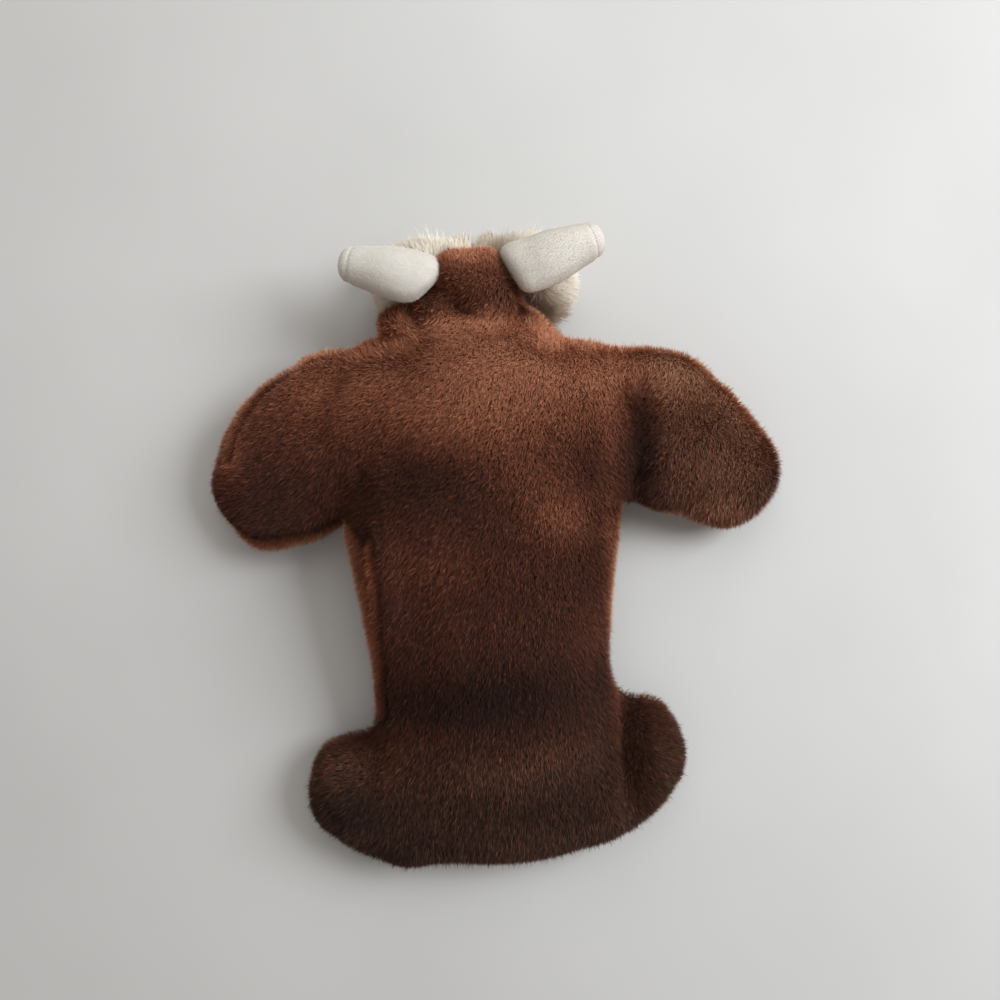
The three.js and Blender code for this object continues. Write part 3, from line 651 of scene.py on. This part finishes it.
def pile_tree():
    """The tree that plants fibres on a cover: its sizes are the inputs."""
    tree = bpy.data.node_groups.new("plush pile", "GeometryNodeTree")
    for name, kind in {"Cover": "Geometry", "Fibre": "Object", **PILE_SIZES, "Finish": "Material"}.items():
        tree.interface.new_socket(name, in_out="INPUT", socket_type="NodeSocket" + kind)
    tree.interface.new_socket("Pile", in_out="OUTPUT", socket_type="NodeSocketGeometry")
    wires = Wiring(tree)
    given = {s.name: Sock(tree, s) for s in wires.add("NodeGroupInput").socket.node.outputs if s.name}

    def kept(name, kind="FLOAT"):
        return wires.add("GeometryNodeInputNamedAttribute", {"data_type": kind}, {"Name": name})

    def vector(operation, **sockets):
        slots = {"first": 0, "second": 1, "factor": "Scale"}
        return wires.add("ShaderNodeVectorMath", {"operation": operation},
                         {slots[name]: value for name, value in sockets.items()})

    def pulled(way, pull, strength):
        return vector("ADD", first=way, second=vector("SCALE", first=pull, factor=strength))

    def swirl(scale, detail):
        return wires.add("ShaderNodeTexNoise", {}, {"Vector": wires.add("GeometryNodeInputPosition"),
                                                    "Scale": scale, "Detail": detail}, out="Color")

    def chance(low, high, seed):
        return wires.add("FunctionNodeRandomValue", {"data_type": "FLOAT"},
                         {"Min": low, "Max": high, "Seed": given["Seed"] + seed}, out="Value")

    def stored(geometry, name, kind, domain, value):
        return wires.add("GeometryNodeStoreNamedAttribute", {"data_type": kind, "domain": domain},
                         {"Geometry": geometry, "Name": name, "Value": value})

    planted = wires.add("GeometryNodeDistributePointsOnFaces", {}, {
        "Mesh": given["Cover"], "Density": given["Density"] * kept("pile_here"), "Seed": given["Seed"]})

    # Fibres lie along the nap. Each tuft, each broader patch and each fibre strays from it.
    middle = (0.5, 0.5, 0.5)
    tuft = swirl(given["Tuft"], 1.0)
    jitter = wires.add("ShaderNodeCombineXYZ", {}, {
        "X": chance(-0.5, 0.5, 1), "Y": chance(-0.5, 0.5, 2), "Z": chance(-0.5, 0.5, 3)})
    way = kept("nap", "FLOAT_VECTOR")
    way = pulled(way, vector("SUBTRACT", first=tuft, second=middle), given["Unruly"])
    way = pulled(way, vector("SUBTRACT", first=swirl(60.0, 2.0), second=middle), 1.2)
    way = pulled(way, jitter, 0.9)
    turned = wires.add("FunctionNodeAxesToRotation", {"primary_axis": "Z", "secondary_axis": "Y"}, {
        "Primary Axis": kept("skin_normal", "FLOAT_VECTOR"), "Secondary Axis": way})
    stray = chance(0, 1, 8).math("LESS_THAN", given["Stray"])
    lean = (given["Lean"] * (1 - kept("upright")) + chance(-0.28, 0.28, 4)) * (1 - stray * 0.8)
    tip_over = wires.add("FunctionNodeEulerToRotation", {}, {
        "Euler": wires.add("ShaderNodeCombineXYZ", {}, {"X": lean * -1.0})})
    leaning = wires.add("FunctionNodeRotateRotation", {"rotation_space": "LOCAL"}, {
        "Rotation": turned, "Rotate By": tip_over})

    # Where they are planted thinly they are wider.
    length = given["Length"] * kept("pile_length") * chance(0.75, 1.15, 5) * (stray * 0.4 + 1)
    width = given["Width"] * chance(0.7, 1.3, 6) * (1.55 - kept("pile_here") * 0.55)
    grown = wires.add("GeometryNodeInstanceOnPoints", {}, {
        "Points": planted, "Rotation": leaning,
        "Instance": wires.add("GeometryNodeObjectInfo", {}, {"Object": given["Fibre"]}, out="Geometry"),
        "Scale": wires.add("ShaderNodeCombineXYZ", {}, {"X": width, "Y": length, "Z": length})})

    # The chart for colour: the shade of a fibre across, with the painted light and shade in it, the
    # olive and painted-light ones in its second half, and the way from root to tip upwards, raised
    # along the rims by their painted glow.
    depth = wires.add("ShaderNodeSeparateXYZ", {}, {"Vector": tuft}, out="Z")
    shade = kept("tone") + (depth - 0.5) * 0.5 + chance(-0.12, 0.12, 7) + stray * 0.1
    shade = shade.math("MAXIMUM", 0.02).math("MINIMUM", 0.98) * 0.5
    shade = shade + chance(0, 1, 9).math("LESS_THAN", kept("worn")) * 0.5
    real = wires.add("GeometryNodeRealizeInstances", {}, {
        "Geometry": stored(grown, "shade", "FLOAT", "INSTANCE", shade)})
    chart = wires.add("ShaderNodeCombineXYZ", {}, {
        "X": kept("shade") + kept("side") * 0.002,
        "Y": kept("along") * (1 - kept("fuzz")) + kept("fuzz")})
    for name in ("pile_chart", "OFBake"):
        real = stored(real, name, "FLOAT2", "CORNER", chart)
    done = wires.add("GeometryNodeSetMaterial", {}, {"Geometry": real, "Material": given["Finish"]})
    wires.add("NodeGroupOutput", {}, {"Pile": done})
    return tree


def fibre_mesh(name, bends):
    """One flat fibre of unit length, narrowing to its tip: (across, ahead, up, along) each."""
    mesh = bpy.data.meshes.new(name)
    corners, along, side = [], [], []
    for half, ahead, up, part in bends:
        for sign in ((-1, 1) if half else (0,)):
            corners.append((half * sign, ahead, up))
            along.append(part)
            side.append(sign)
    faces = [(2 * i, 2 * i + 1, 2 * i + 3, 2 * i + 2) for i in range(len(bends) - 2)]
    last = len(corners) - 1
    mesh.from_pydata(corners, [], faces + [(last - 2, last - 1, last)])
    for label, values in (("along", along), ("side", side)):
        mesh.attributes.new(label, "FLOAT", "POINT").data.foreach_set("value", values)
    mesh.shade_smooth()
    return bpy.data.objects.new(name, mesh)


PILE = pile_tree()
PILE_INPUTS = {s.name: s.identifier for s in PILE.interface.items_tree
               if s.item_type == "SOCKET" and s.in_out == "INPUT"}
plush_fibre = fibre_mesh("plush_fibre", [(0.5, 0, 0, 0), (0.44, 0.08, 0.55, 0.5), (0, 0.32, 0.95, 1)])


def grow_pile(name, skin, fibre, material, **sizes):
    """The pile of one cover piece, as a plain mesh that stays above the table."""
    bed = stand(name + "_bed", skin.copy())
    modifier = bed.modifiers.new("pile", "NODES")
    modifier.node_group = PILE
    for label, value in {"Fibre": fibre, "Finish": material, **sizes}.items():
        modifier[PILE_INPUTS[label]] = value
    mesh = plain_mesh(bed)
    bpy.data.objects.remove(bed)
    points = points_of(mesh)
    points[:, 2] = np.maximum(points[:, 2], PILE_FLOOR)
    move_to(mesh, points)
    mesh.name = name
    return stand(name, mesh)


def pile_finish(name, roughness, sheen, hues, root_shade=()):
    """A pile's material: a hue for each fibre's shade, and painted shade that darkens it towards the root.
    """
    made, wires, shader = finish(name, roughness, sheen)
    chart = wires.add("ShaderNodeUVMap", {"uv_map": "pile_chart"})
    colour = wires.ramp(wires.add("ShaderNodeSeparateXYZ", {}, {"Vector": chart}), *hues)
    if root_shade:
        depth = wires.ramp(wires.add("ShaderNodeSeparateXYZ", {}, {"Vector": chart}, out="Y"), *root_shade)
        colour = wires.add("ShaderNodeMix", {"data_type": "RGBA", "blend_type": "MULTIPLY"},
                           {"Factor": 1.0, "A": colour, "B": depth}, out="Result")
    feed(wires, shader, Base_Color=colour)
    return made, shader


# The fibres' hues: red-brown, then paler olive ones, which are the fibres' own hue on the tail and painted
# light on the right flipper and the rims.
RED_BROWN_HUES = [(0.0, srgb(30, 17, 15)), (0.125, srgb(58, 32, 25)), (0.25, srgb(102, 57, 41)),
              (0.375, srgb(164, 99, 72)), (0.495, srgb(226, 158, 121))]
OLIVE_AND_LIT_HUES = [(0.505, srgb(30, 20, 18)), (0.625, srgb(57, 38, 31)), (0.75, srgb(101, 69, 53)),
             (0.875, srgb(162, 117, 90)), (1.0, srgb(220, 176, 140))]
# Painted shade: each fibre darkens towards its root, deep in the pile.
plush_pile, shader = pile_finish(
    "brown_plush_pile", 0.75, 0.25, RED_BROWN_HUES + OLIVE_AND_LIT_HUES,
    [(0.0, (0.36, 0.34, 0.33)), (0.5, (0.76, 0.74, 0.73)), (1.0, (1, 1, 1))])
shader.inputs["Sheen Roughness"].default_value = 0.5
shader.inputs["Sheen Tint"].default_value = (*srgb(190, 130, 100), 1)
shader.inputs["Specular IOR Level"].default_value = 0.25

# The torso's pile is planted in beds, each a piece: its lowest and highest Y in mm, and whether
# it is on the back.
TORSO_BEDS = {"shoulder_pile": (62, 200, True), "upper_back_pile": (10, 62, True),
              "mid_back_pile": (-45, 10, True), "lower_back_pile": (-95, -45, True),
              "rump_pile": (-200, -95, True), "chest_pile": (20, 200, False),
              "belly_pile": (-200, 20, False)}


def bed_of(mesh, low, high, back):
    """A copy of the torso's cover on which only the faces of one bed are planted."""
    bed = mesh.copy()
    middles, ways = np.empty(len(bed.polygons) * 3), np.empty(len(bed.polygons) * 3)
    bed.polygons.foreach_get("center", middles)
    bed.polygons.foreach_get("normal", ways)
    here = np.empty(len(bed.polygons), dtype=np.float32)
    mark = bed.attributes["pile_here"].data
    mark.foreach_get("value", here)
    along, up = middles[1::3] / MM, ways[2::3]
    mark.foreach_set("value", here * ((along >= low) & (along < high) & ((up >= -0.1) == back)))
    return bed


def hang(piece, body):
    """Sets a piece on the torso; a piece of a limb or of the head only has its place baked into its mesh."""
    if body == "torso":
        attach(piece, "torso")
    else:
        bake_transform(piece)


for number, (body, skin) in enumerate(covers.items()):
    beds = {body + "_pile": skin.data}
    if body == "torso":
        beds = {name: bed_of(skin.data, *reach) for name, reach in TORSO_BEDS.items()}
    piles = [grow_pile(name, bed, plush_fibre, plush_pile, Density=5.0e6, Length=3.9 * MM, Width=0.26 * MM,
                       Lean=0.38, Unruly=1.6, Tuft=600.0, Stray=0.07, Seed=20 + 10 * number + count)
             for count, (name, bed) in enumerate(beds.items())]
    for piece in (skin, *piles):
        hang(piece, body)
    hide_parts(*COVER_NODES[body])


# The stuffing: loose polyester fibre, white and tangled, pressed into each cover
# through a gap in its seam. It is lumpy, and hidden by the cover.

STUFFING_ROOM = 4.5
stuffing, wires, shader = finish("polyester_stuffing", 0.9, sheen=0.3)
tangle = wires.noise(260.0, 6.0, 2.0)
feed(wires, shader, Normal=wires.bump(tangle, 0.6, 1.5 * MM), Base_Color=wires.ramp(
    tangle, (0.3, srgb(214, 212, 208)), (0.7, srgb(248, 247, 244))))


def lump_of(name, mesh):
    """A lump of stuffing."""
    mesh.materials.append(stuffing)
    return stand(name, mesh)


LUMPS = 1.1 * (np.sin(toy.x / 7.1 + 1.3 * np.sin(toy.y / 9.7)) * np.sin(toy.y / 6.3 + toy.z / 8.9)
               + 0.6 * np.sin(toy.z / 4.7 + toy.x / 11.0))
for body, name in STUFFED.items():
    inset, lumpy = (7.0, 0.6) if body == "head" else (10.0, 1.0)
    inside = np.maximum(forms[body] + STUFFING_ROOM, whole + inset) + lumpy * LUMPS
    lump = lump_of(name + "_stuffing", toy.skin(name + "_stuffing", inside))
    hang(lump, body)
    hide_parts(name + "_filling")


# The muzzle: two whisker pads of long cream fur side by side under the hood,
# stuffed like the body, their pile combed out from the nose.

PAD_INSET, PAD_STUFFING_ROOM, PAD_OVERLAP = 3.2, 5.5, 2.6
PAD_FRONT, PAD_FRONT_RADII = (7, 150, 10), (15, 20, 11)
muzzle = Volume((-0.070, 0.100, -0.010), (0.070, 0.180, 0.055), 1.5 * MM)
pad_lumps = 0.8 * (np.sin(muzzle.x / 5.3) * np.sin(muzzle.y / 6.1 + muzzle.z / 5.7))
cream_backing, wires, shader = finish("cream_backing", 0.95, sheen=0.2)
mottle = wires.noise(380.0, 4.0)
feed(wires, shader, Normal=wires.bump(mottle, 0.4, 0.6 * MM), Base_Color=wires.ramp(
    mottle, (0.35, srgb(222, 212, 193)), (0.65, srgb(240, 232, 216))))
# Painted shade, slighter than on the brown pile: each fibre darkens a little towards its root.
cream_pile, shader = pile_finish(
    "cream_fur_pile", 0.7, 0.2,
    [(0.0, srgb(214, 200, 176)), (0.25, srgb(233, 223, 206)), (0.5, srgb(246, 240, 230))],
    [(0.0, (0.9, 0.88, 0.84)), (0.5, (0.97, 0.96, 0.95)), (1.0, (1, 1, 1))])
shader.inputs["Specular IOR Level"].default_value = 0.25
fur_fibre = fibre_mesh("fur_fibre", [(0.5, 0, 0, 0), (0.45, 0.14, 0.4, 0.35), (0.36, 0.45, 0.68, 0.7),
                                     (0, 0.88, 0.82, 1)])


def plant_all(mesh):
    """Marks every face of a mesh for planting."""
    mesh.attributes.new("pile_here", "FLOAT", "FACE").data.foreach_set(
        "value", np.ones(len(mesh.polygons), dtype=np.float32))


for side, sign in (("left", -1), ("right", 1)):
    front = muzzle.ball((sign * PAD_FRONT[0], *PAD_FRONT[1:]), PAD_FRONT_RADII)
    pad_form = sewn(muzzle.form([f"whisker_pad_{side}", f"pad_filling_{side}"], 20 * MM), front, 8)
    pad_form = np.maximum(pad_form, -sign * muzzle.x - PAD_OVERLAP)
    mesh = muzzle.skin("pad_cover_" + side, pad_form, -PAD_INSET, 8)
    normals = soft_normals(mesh, 4)
    x, y, z = points_of(mesh).T / MM
    inner = rise(-sign * normals[:, 0], 0.4, 0.8) * (1 - rise(sign * x, 5, 11))
    # Painted light: the pads' pile is paler higher up, where the light falls.
    keep(mesh, skin_normal=normals, nap=np.stack([0.5 * x, y - 128, np.full(len(x), -12)], 1) / 20,
         tone=0.5 + 0.2 * rise(z, 10, 30), pile_length=1 - 0.6 * inner)
    plant_all(mesh)
    mesh.materials.append(cream_backing)
    pad = stand("whisker_pad_cover_" + side, mesh)
    fur = grow_pile("whisker_pad_pile_" + side, mesh, fur_fibre, cream_pile, Density=3.4e6,
                    Length=7.6 * MM, Width=0.34 * MM, Lean=0.62, Unruly=1.1, Tuft=200.0, Stray=0.01,
                    Seed=101 + sign)
    name = "pad_stuffing_" + side
    lump = lump_of(name, muzzle.skin(name, pad_form + PAD_STUFFING_ROOM + pad_lumps))
    for piece, slot in ((pad, "cream_fur"), (fur, "cream_fur"), (lump, "polyester_filling")):
        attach(piece, "head")
    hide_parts(f"whisker_pad_{side}")
    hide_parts(f"pad_filling_{side}")


# The tusks: stuffed tubes of white velour with a round end cap sewn on, each
# sewn into the side of the hood at its root, where it bends.

TUSK_ROOT_X, TUSK_ROOT_Z, TUSK_DROP = 24, 51, math.radians(6)
TUSK_SEAM, TUSK_GROOVE, TUSK_SKIN, TUSK_WALL = 35, 0.4, 0.5, 3.0
TUSK_INSIDE, TUSK_REACH, TUSK_ROOM = 20 * MM, 60 * MM, 22 * MM
ROOT_LUMP, ROOT_LUMP_RADII = (19, 141, 49), (9, 10, 9)
# Each tusk: its side, its root's Y, how far it points forward, the place and the direction of the
# seam that it is sewn on by, and its painted shading: lower, and so warmer, on the right, as painted warm
# light.
TUSKS = {"left": (-1, 136, math.radians(16), (-14.3, 135.7), (-0.569, 0.823), 0.58),
         "right": (1, 138.5, math.radians(20.5), (13, 143.6), (0.863, 0.505), 0.3)}
velour, wires, shader = finish("white_velour", 0.85, sheen=0.35)
cloud, grain = wires.noise(70.0, 4.0), wires.noise(1500.0, 3.0)
feed(wires, shader, Normal=wires.bump(grain, 0.3, 0.2 * MM), Base_Color=wires.ramp(
    cloud * 0.7 + grain * 0.3, (0.3, srgb(214, 211, 203)), (0.7, srgb(230, 228, 222))))
# The nap's warmer low end paints warm light on the right tusk.
velour_nap, _ = pile_finish("white_velour_nap", 0.8, 0.2, [
    (0.0, srgb(212, 199, 178)), (0.25, srgb(225, 220, 210)), (0.5, srgb(236, 235, 230))])

for side, (sign, root_y, forward, seat, seat_way, tone) in TUSKS.items():
    body = "tusk_" + side
    root = Vector((sign * TUSK_ROOT_X, root_y, TUSK_ROOT_Z)) * MM
    heading = Vector((sign * math.cos(forward) * math.cos(TUSK_DROP),
                      math.sin(forward) * math.cos(TUSK_DROP), -math.sin(TUSK_DROP)))
    ends = np.array([root - heading * TUSK_INSIDE, root + heading * TUSK_REACH])
    tube = Volume(ends.min(0) - TUSK_ROOM, ends.max(0) + TUSK_ROOM, 1.0 * MM)

    # Wider and lower at the root than the solid, and cut off where it is sewn to the hood.
    tusk_form = tube.form([f"tusk_{kind}_{side}" for kind in ("cover", "cap", "filling")], 12 * MM)
    apart = [place - start for place, start in zip((tube.x, tube.y, tube.z), root / MM)]
    along = sum(a * h for a, h in zip(apart, heading))
    across, above = [a - along * h for a, h in zip(apart[1:], heading[1:])]
    sideways = across ** 2 / (across ** 2 + above ** 2 + 1)
    wider = 2.4 * sideways * (1 - rise(along, 2, 34))
    lower = 2.5 * (1 - rise(along, -6, 12)) * rise(above, 2, 9)
    tusk_form = tusk_form - wider + lower
    if side == "right":
        tusk_form = sewn(tusk_form, tube.ball(ROOT_LUMP, ROOT_LUMP_RADII), 6)
    beside = (tube.x - seat[0]) * seat_way[0] + (tube.y - seat[1]) * seat_way[1]
    tusk_form = -sewn(-tusk_form, beside, 3)

    mesh = tube.skin(body, tusk_form, -TUSK_SKIN, 24)
    points = points_of(mesh)
    from_seam = (points - np.array(root)) @ np.array(heading) / MM - TUSK_SEAM
    move_to(mesh, points - normals_of(mesh) * (TUSK_GROOVE * MM * hill(from_seam, 0.9))[:, None])
    # Painted shade darkens the nap along the seam's groove.
    keep(mesh, skin_normal=soft_normals(mesh, 4), nap=np.tile(np.array(heading), (len(points), 1)),
         tone=tone - 0.22 * hill(from_seam, 0.8), pile_length=1 - 0.5 * hill(from_seam, 1.5))
    tusk = bmesh.new()
    tusk.from_mesh(mesh)
    bmesh.ops.bisect_plane(tusk, geom=tusk.verts[:] + tusk.edges[:] + tusk.faces[:], dist=1e-7,
                           plane_co=root + heading * TUSK_SEAM * MM, plane_no=heading)
    for kind, outer in (("cover", False), ("cap", True)):
        half = tusk.copy()
        bmesh.ops.delete(half, context="FACES", geom=[
            f for f in half.faces
            if ((f.calc_center_median() - root).dot(heading) > TUSK_SEAM * MM) != outer])
        planted = half.faces.layers.float.new("pile_here")
        for face in half.faces:
            face[planted] = 1
        name = f"tusk_{kind}_cloth_{side}"
        cloth = stand(name, closed(half, name))
        cloth.data.materials.append(velour)
        nap_piece = grow_pile(f"tusk_{kind}_nap_{side}", cloth.data, plush_fibre, velour_nap,
                              Density=5.0e6, Length=0.6 * MM, Width=0.18 * MM, Lean=0.8,
                              Unruly=1.2, Tuft=900.0, Stray=0.02, Seed=130 + sign + outer)
        for piece in (cloth, nap_piece):
            if outer:
                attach(piece, body)
            else:
                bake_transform(piece)
        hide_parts(f"tusk_{kind}_{side}")
    tusk.free()
    name = "tusk_stuffing_" + side
    lump = lump_of(name, tube.skin(name, tusk_form, -TUSK_WALL))
    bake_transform(lump)
    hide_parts(f"tusk_filling_{side}")


# The eyes: polished black domes on shanks pushed through the hood, each locked
# behind the cloth by a moulded washer.

EYE_WAY = Vector((0, 0.9925, -0.1219)).normalized()
EYE_RADIUS, EYE_DOME, SHANK_RADIUS, SHANK_LENGTH, EYE_BEVEL, EYE_SIDES = 4.2, 3.4, 1.4, 5.5, 0.3, 40
WASHER_BORE, WASHER_RADIUS, WASHER_BACK, WASHER_FRONT = 1.6, 4.6, -4.9, -3.5
eye_gloss, wires, shader = finish("black_eye_gloss", 0.12, coat=0.6)
scuff = wires.noise(900.0, 3.0)
feed(wires, shader, Roughness=scuff * 0.12 + 0.05, Base_Color=wires.ramp(
    scuff, (0.3, srgb(14, 11, 10)), (0.8, srgb(30, 24, 22))))
washer_plastic, wires, shader = finish("washer_plastic", 0.45)
haze = wires.noise(600.0, 3.0)
feed(wires, shader, Roughness=haze * 0.2 + 0.35, Base_Color=wires.ramp(
    haze, (0.3, srgb(216, 216, 214)), (0.7, srgb(232, 232, 230))))


def turned(name, outline, centre, material, ring=False):
    """A round piece turned about the eye's direction; outline runs (radius, height) in mm."""
    made = bmesh.new()
    turn = EYE_WAY.to_track_quat("Z", "Y").to_matrix()
    rings = [[made.verts.new(centre + turn @ Vector((r * math.cos(t), r * math.sin(t), h)) * MM)
              for t in np.arange(EYE_SIDES) * 2 * math.pi / EYE_SIDES] for r, h in outline]
    for lower, upper in zip(rings, rings[1:] + rings[:1] if ring else rings[1:]):
        for k in range(EYE_SIDES):
            made.faces.new((lower[k - 1], lower[k], upper[k], upper[k - 1]))
    if not ring:
        for end in (rings[0], rings[-1]):
            made.faces.new(end)
    bmesh.ops.recalc_face_normals(made, faces=made.faces)
    mesh = as_mesh(made, name)
    mesh.shade_smooth()
    mesh.materials.append(material)
    return stand(name, mesh)


dome = [(EYE_RADIUS * math.cos(a), EYE_DOME * math.sin(a)) for a in np.linspace(0, 1.53, 14)]
eye_outline = [(SHANK_RADIUS - EYE_BEVEL, -SHANK_LENGTH), (SHANK_RADIUS, EYE_BEVEL - SHANK_LENGTH),
               (SHANK_RADIUS, -0.5), (EYE_RADIUS - EYE_BEVEL, -0.15), *dome]
washer_outline = [(WASHER_BORE, WASHER_BACK), (WASHER_RADIUS - EYE_BEVEL, WASHER_BACK),
                  (WASHER_RADIUS, WASHER_BACK + EYE_BEVEL), (WASHER_RADIUS, WASHER_FRONT - EYE_BEVEL),
                  (WASHER_RADIUS - EYE_BEVEL, WASHER_FRONT), (WASHER_BORE, WASHER_FRONT)]
for side in ("left", "right"):
    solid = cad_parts["eye_" + side]
    tip = max((v.co for v in solid.data.vertices), key=lambda p: p.dot(EYE_WAY))
    middle_x = sum(corner[0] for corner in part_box("eye_" + side)) / 2
    centre = Vector((middle_x, tip.y, tip.z)) - EYE_WAY * (EYE_DOME + PILE_ROOM) * MM
    for name, outline, material, ring, slot in (
            ("eye", eye_outline, eye_gloss, False, "black_gloss"),
            ("eye_washer", washer_outline, washer_plastic, True, "white_plastic")):
        piece = turned(f"{name}_turned_{side}", outline, centre, material, ring)
        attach(piece, "head")
        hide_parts(f"{name}_{side}")


# The nose: a small padded button of dark velvet with a short nap, sewn to the
# end of the hood above the whisker pads.

NOSE_SKIN = 0.2
bridge = Volume((-0.014, 0.140, 0.008), (0.014, 0.168, 0.040), 0.7 * MM)
velvet, wires, shader = finish("nose_velvet", 0.8, sheen=0.4)
grain = wires.noise(1200.0, 3.0)
feed(wires, shader, Normal=wires.bump(grain, 0.4, 0.3 * MM), Base_Color=wires.ramp(
    grain, (0.3, srgb(24, 17, 15)), (0.7, srgb(46, 34, 30))))
velvet_nap, _ = pile_finish("nose_velvet_nap", 0.8, 0.3, [(0.0, srgb(20, 14, 12)), (0.5, srgb(62, 46, 40))])

mesh = bridge.skin("nose_velvet", bridge.form(["nose"], 6 * MM), -NOSE_SKIN, 8)
count = len(mesh.vertices)
keep(mesh, skin_normal=normals_of(mesh), nap=np.tile((0.2, 0.2, -1.0), (count, 1)),
     tone=np.full(count, 0.5), pile_length=np.ones(count))
plant_all(mesh)
mesh.materials.append(velvet)
nose = stand("nose_button", mesh)
nose_nap = grow_pile("nose_nap", mesh, plush_fibre, velvet_nap, Density=9.0e6, Length=0.9 * MM,
                     Width=0.14 * MM, Lean=0.6, Unruly=1.2, Tuft=700.0, Stray=0.02, Seed=151)
for piece in (nose, nose_nap):
    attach(piece, "head")
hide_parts("nose")
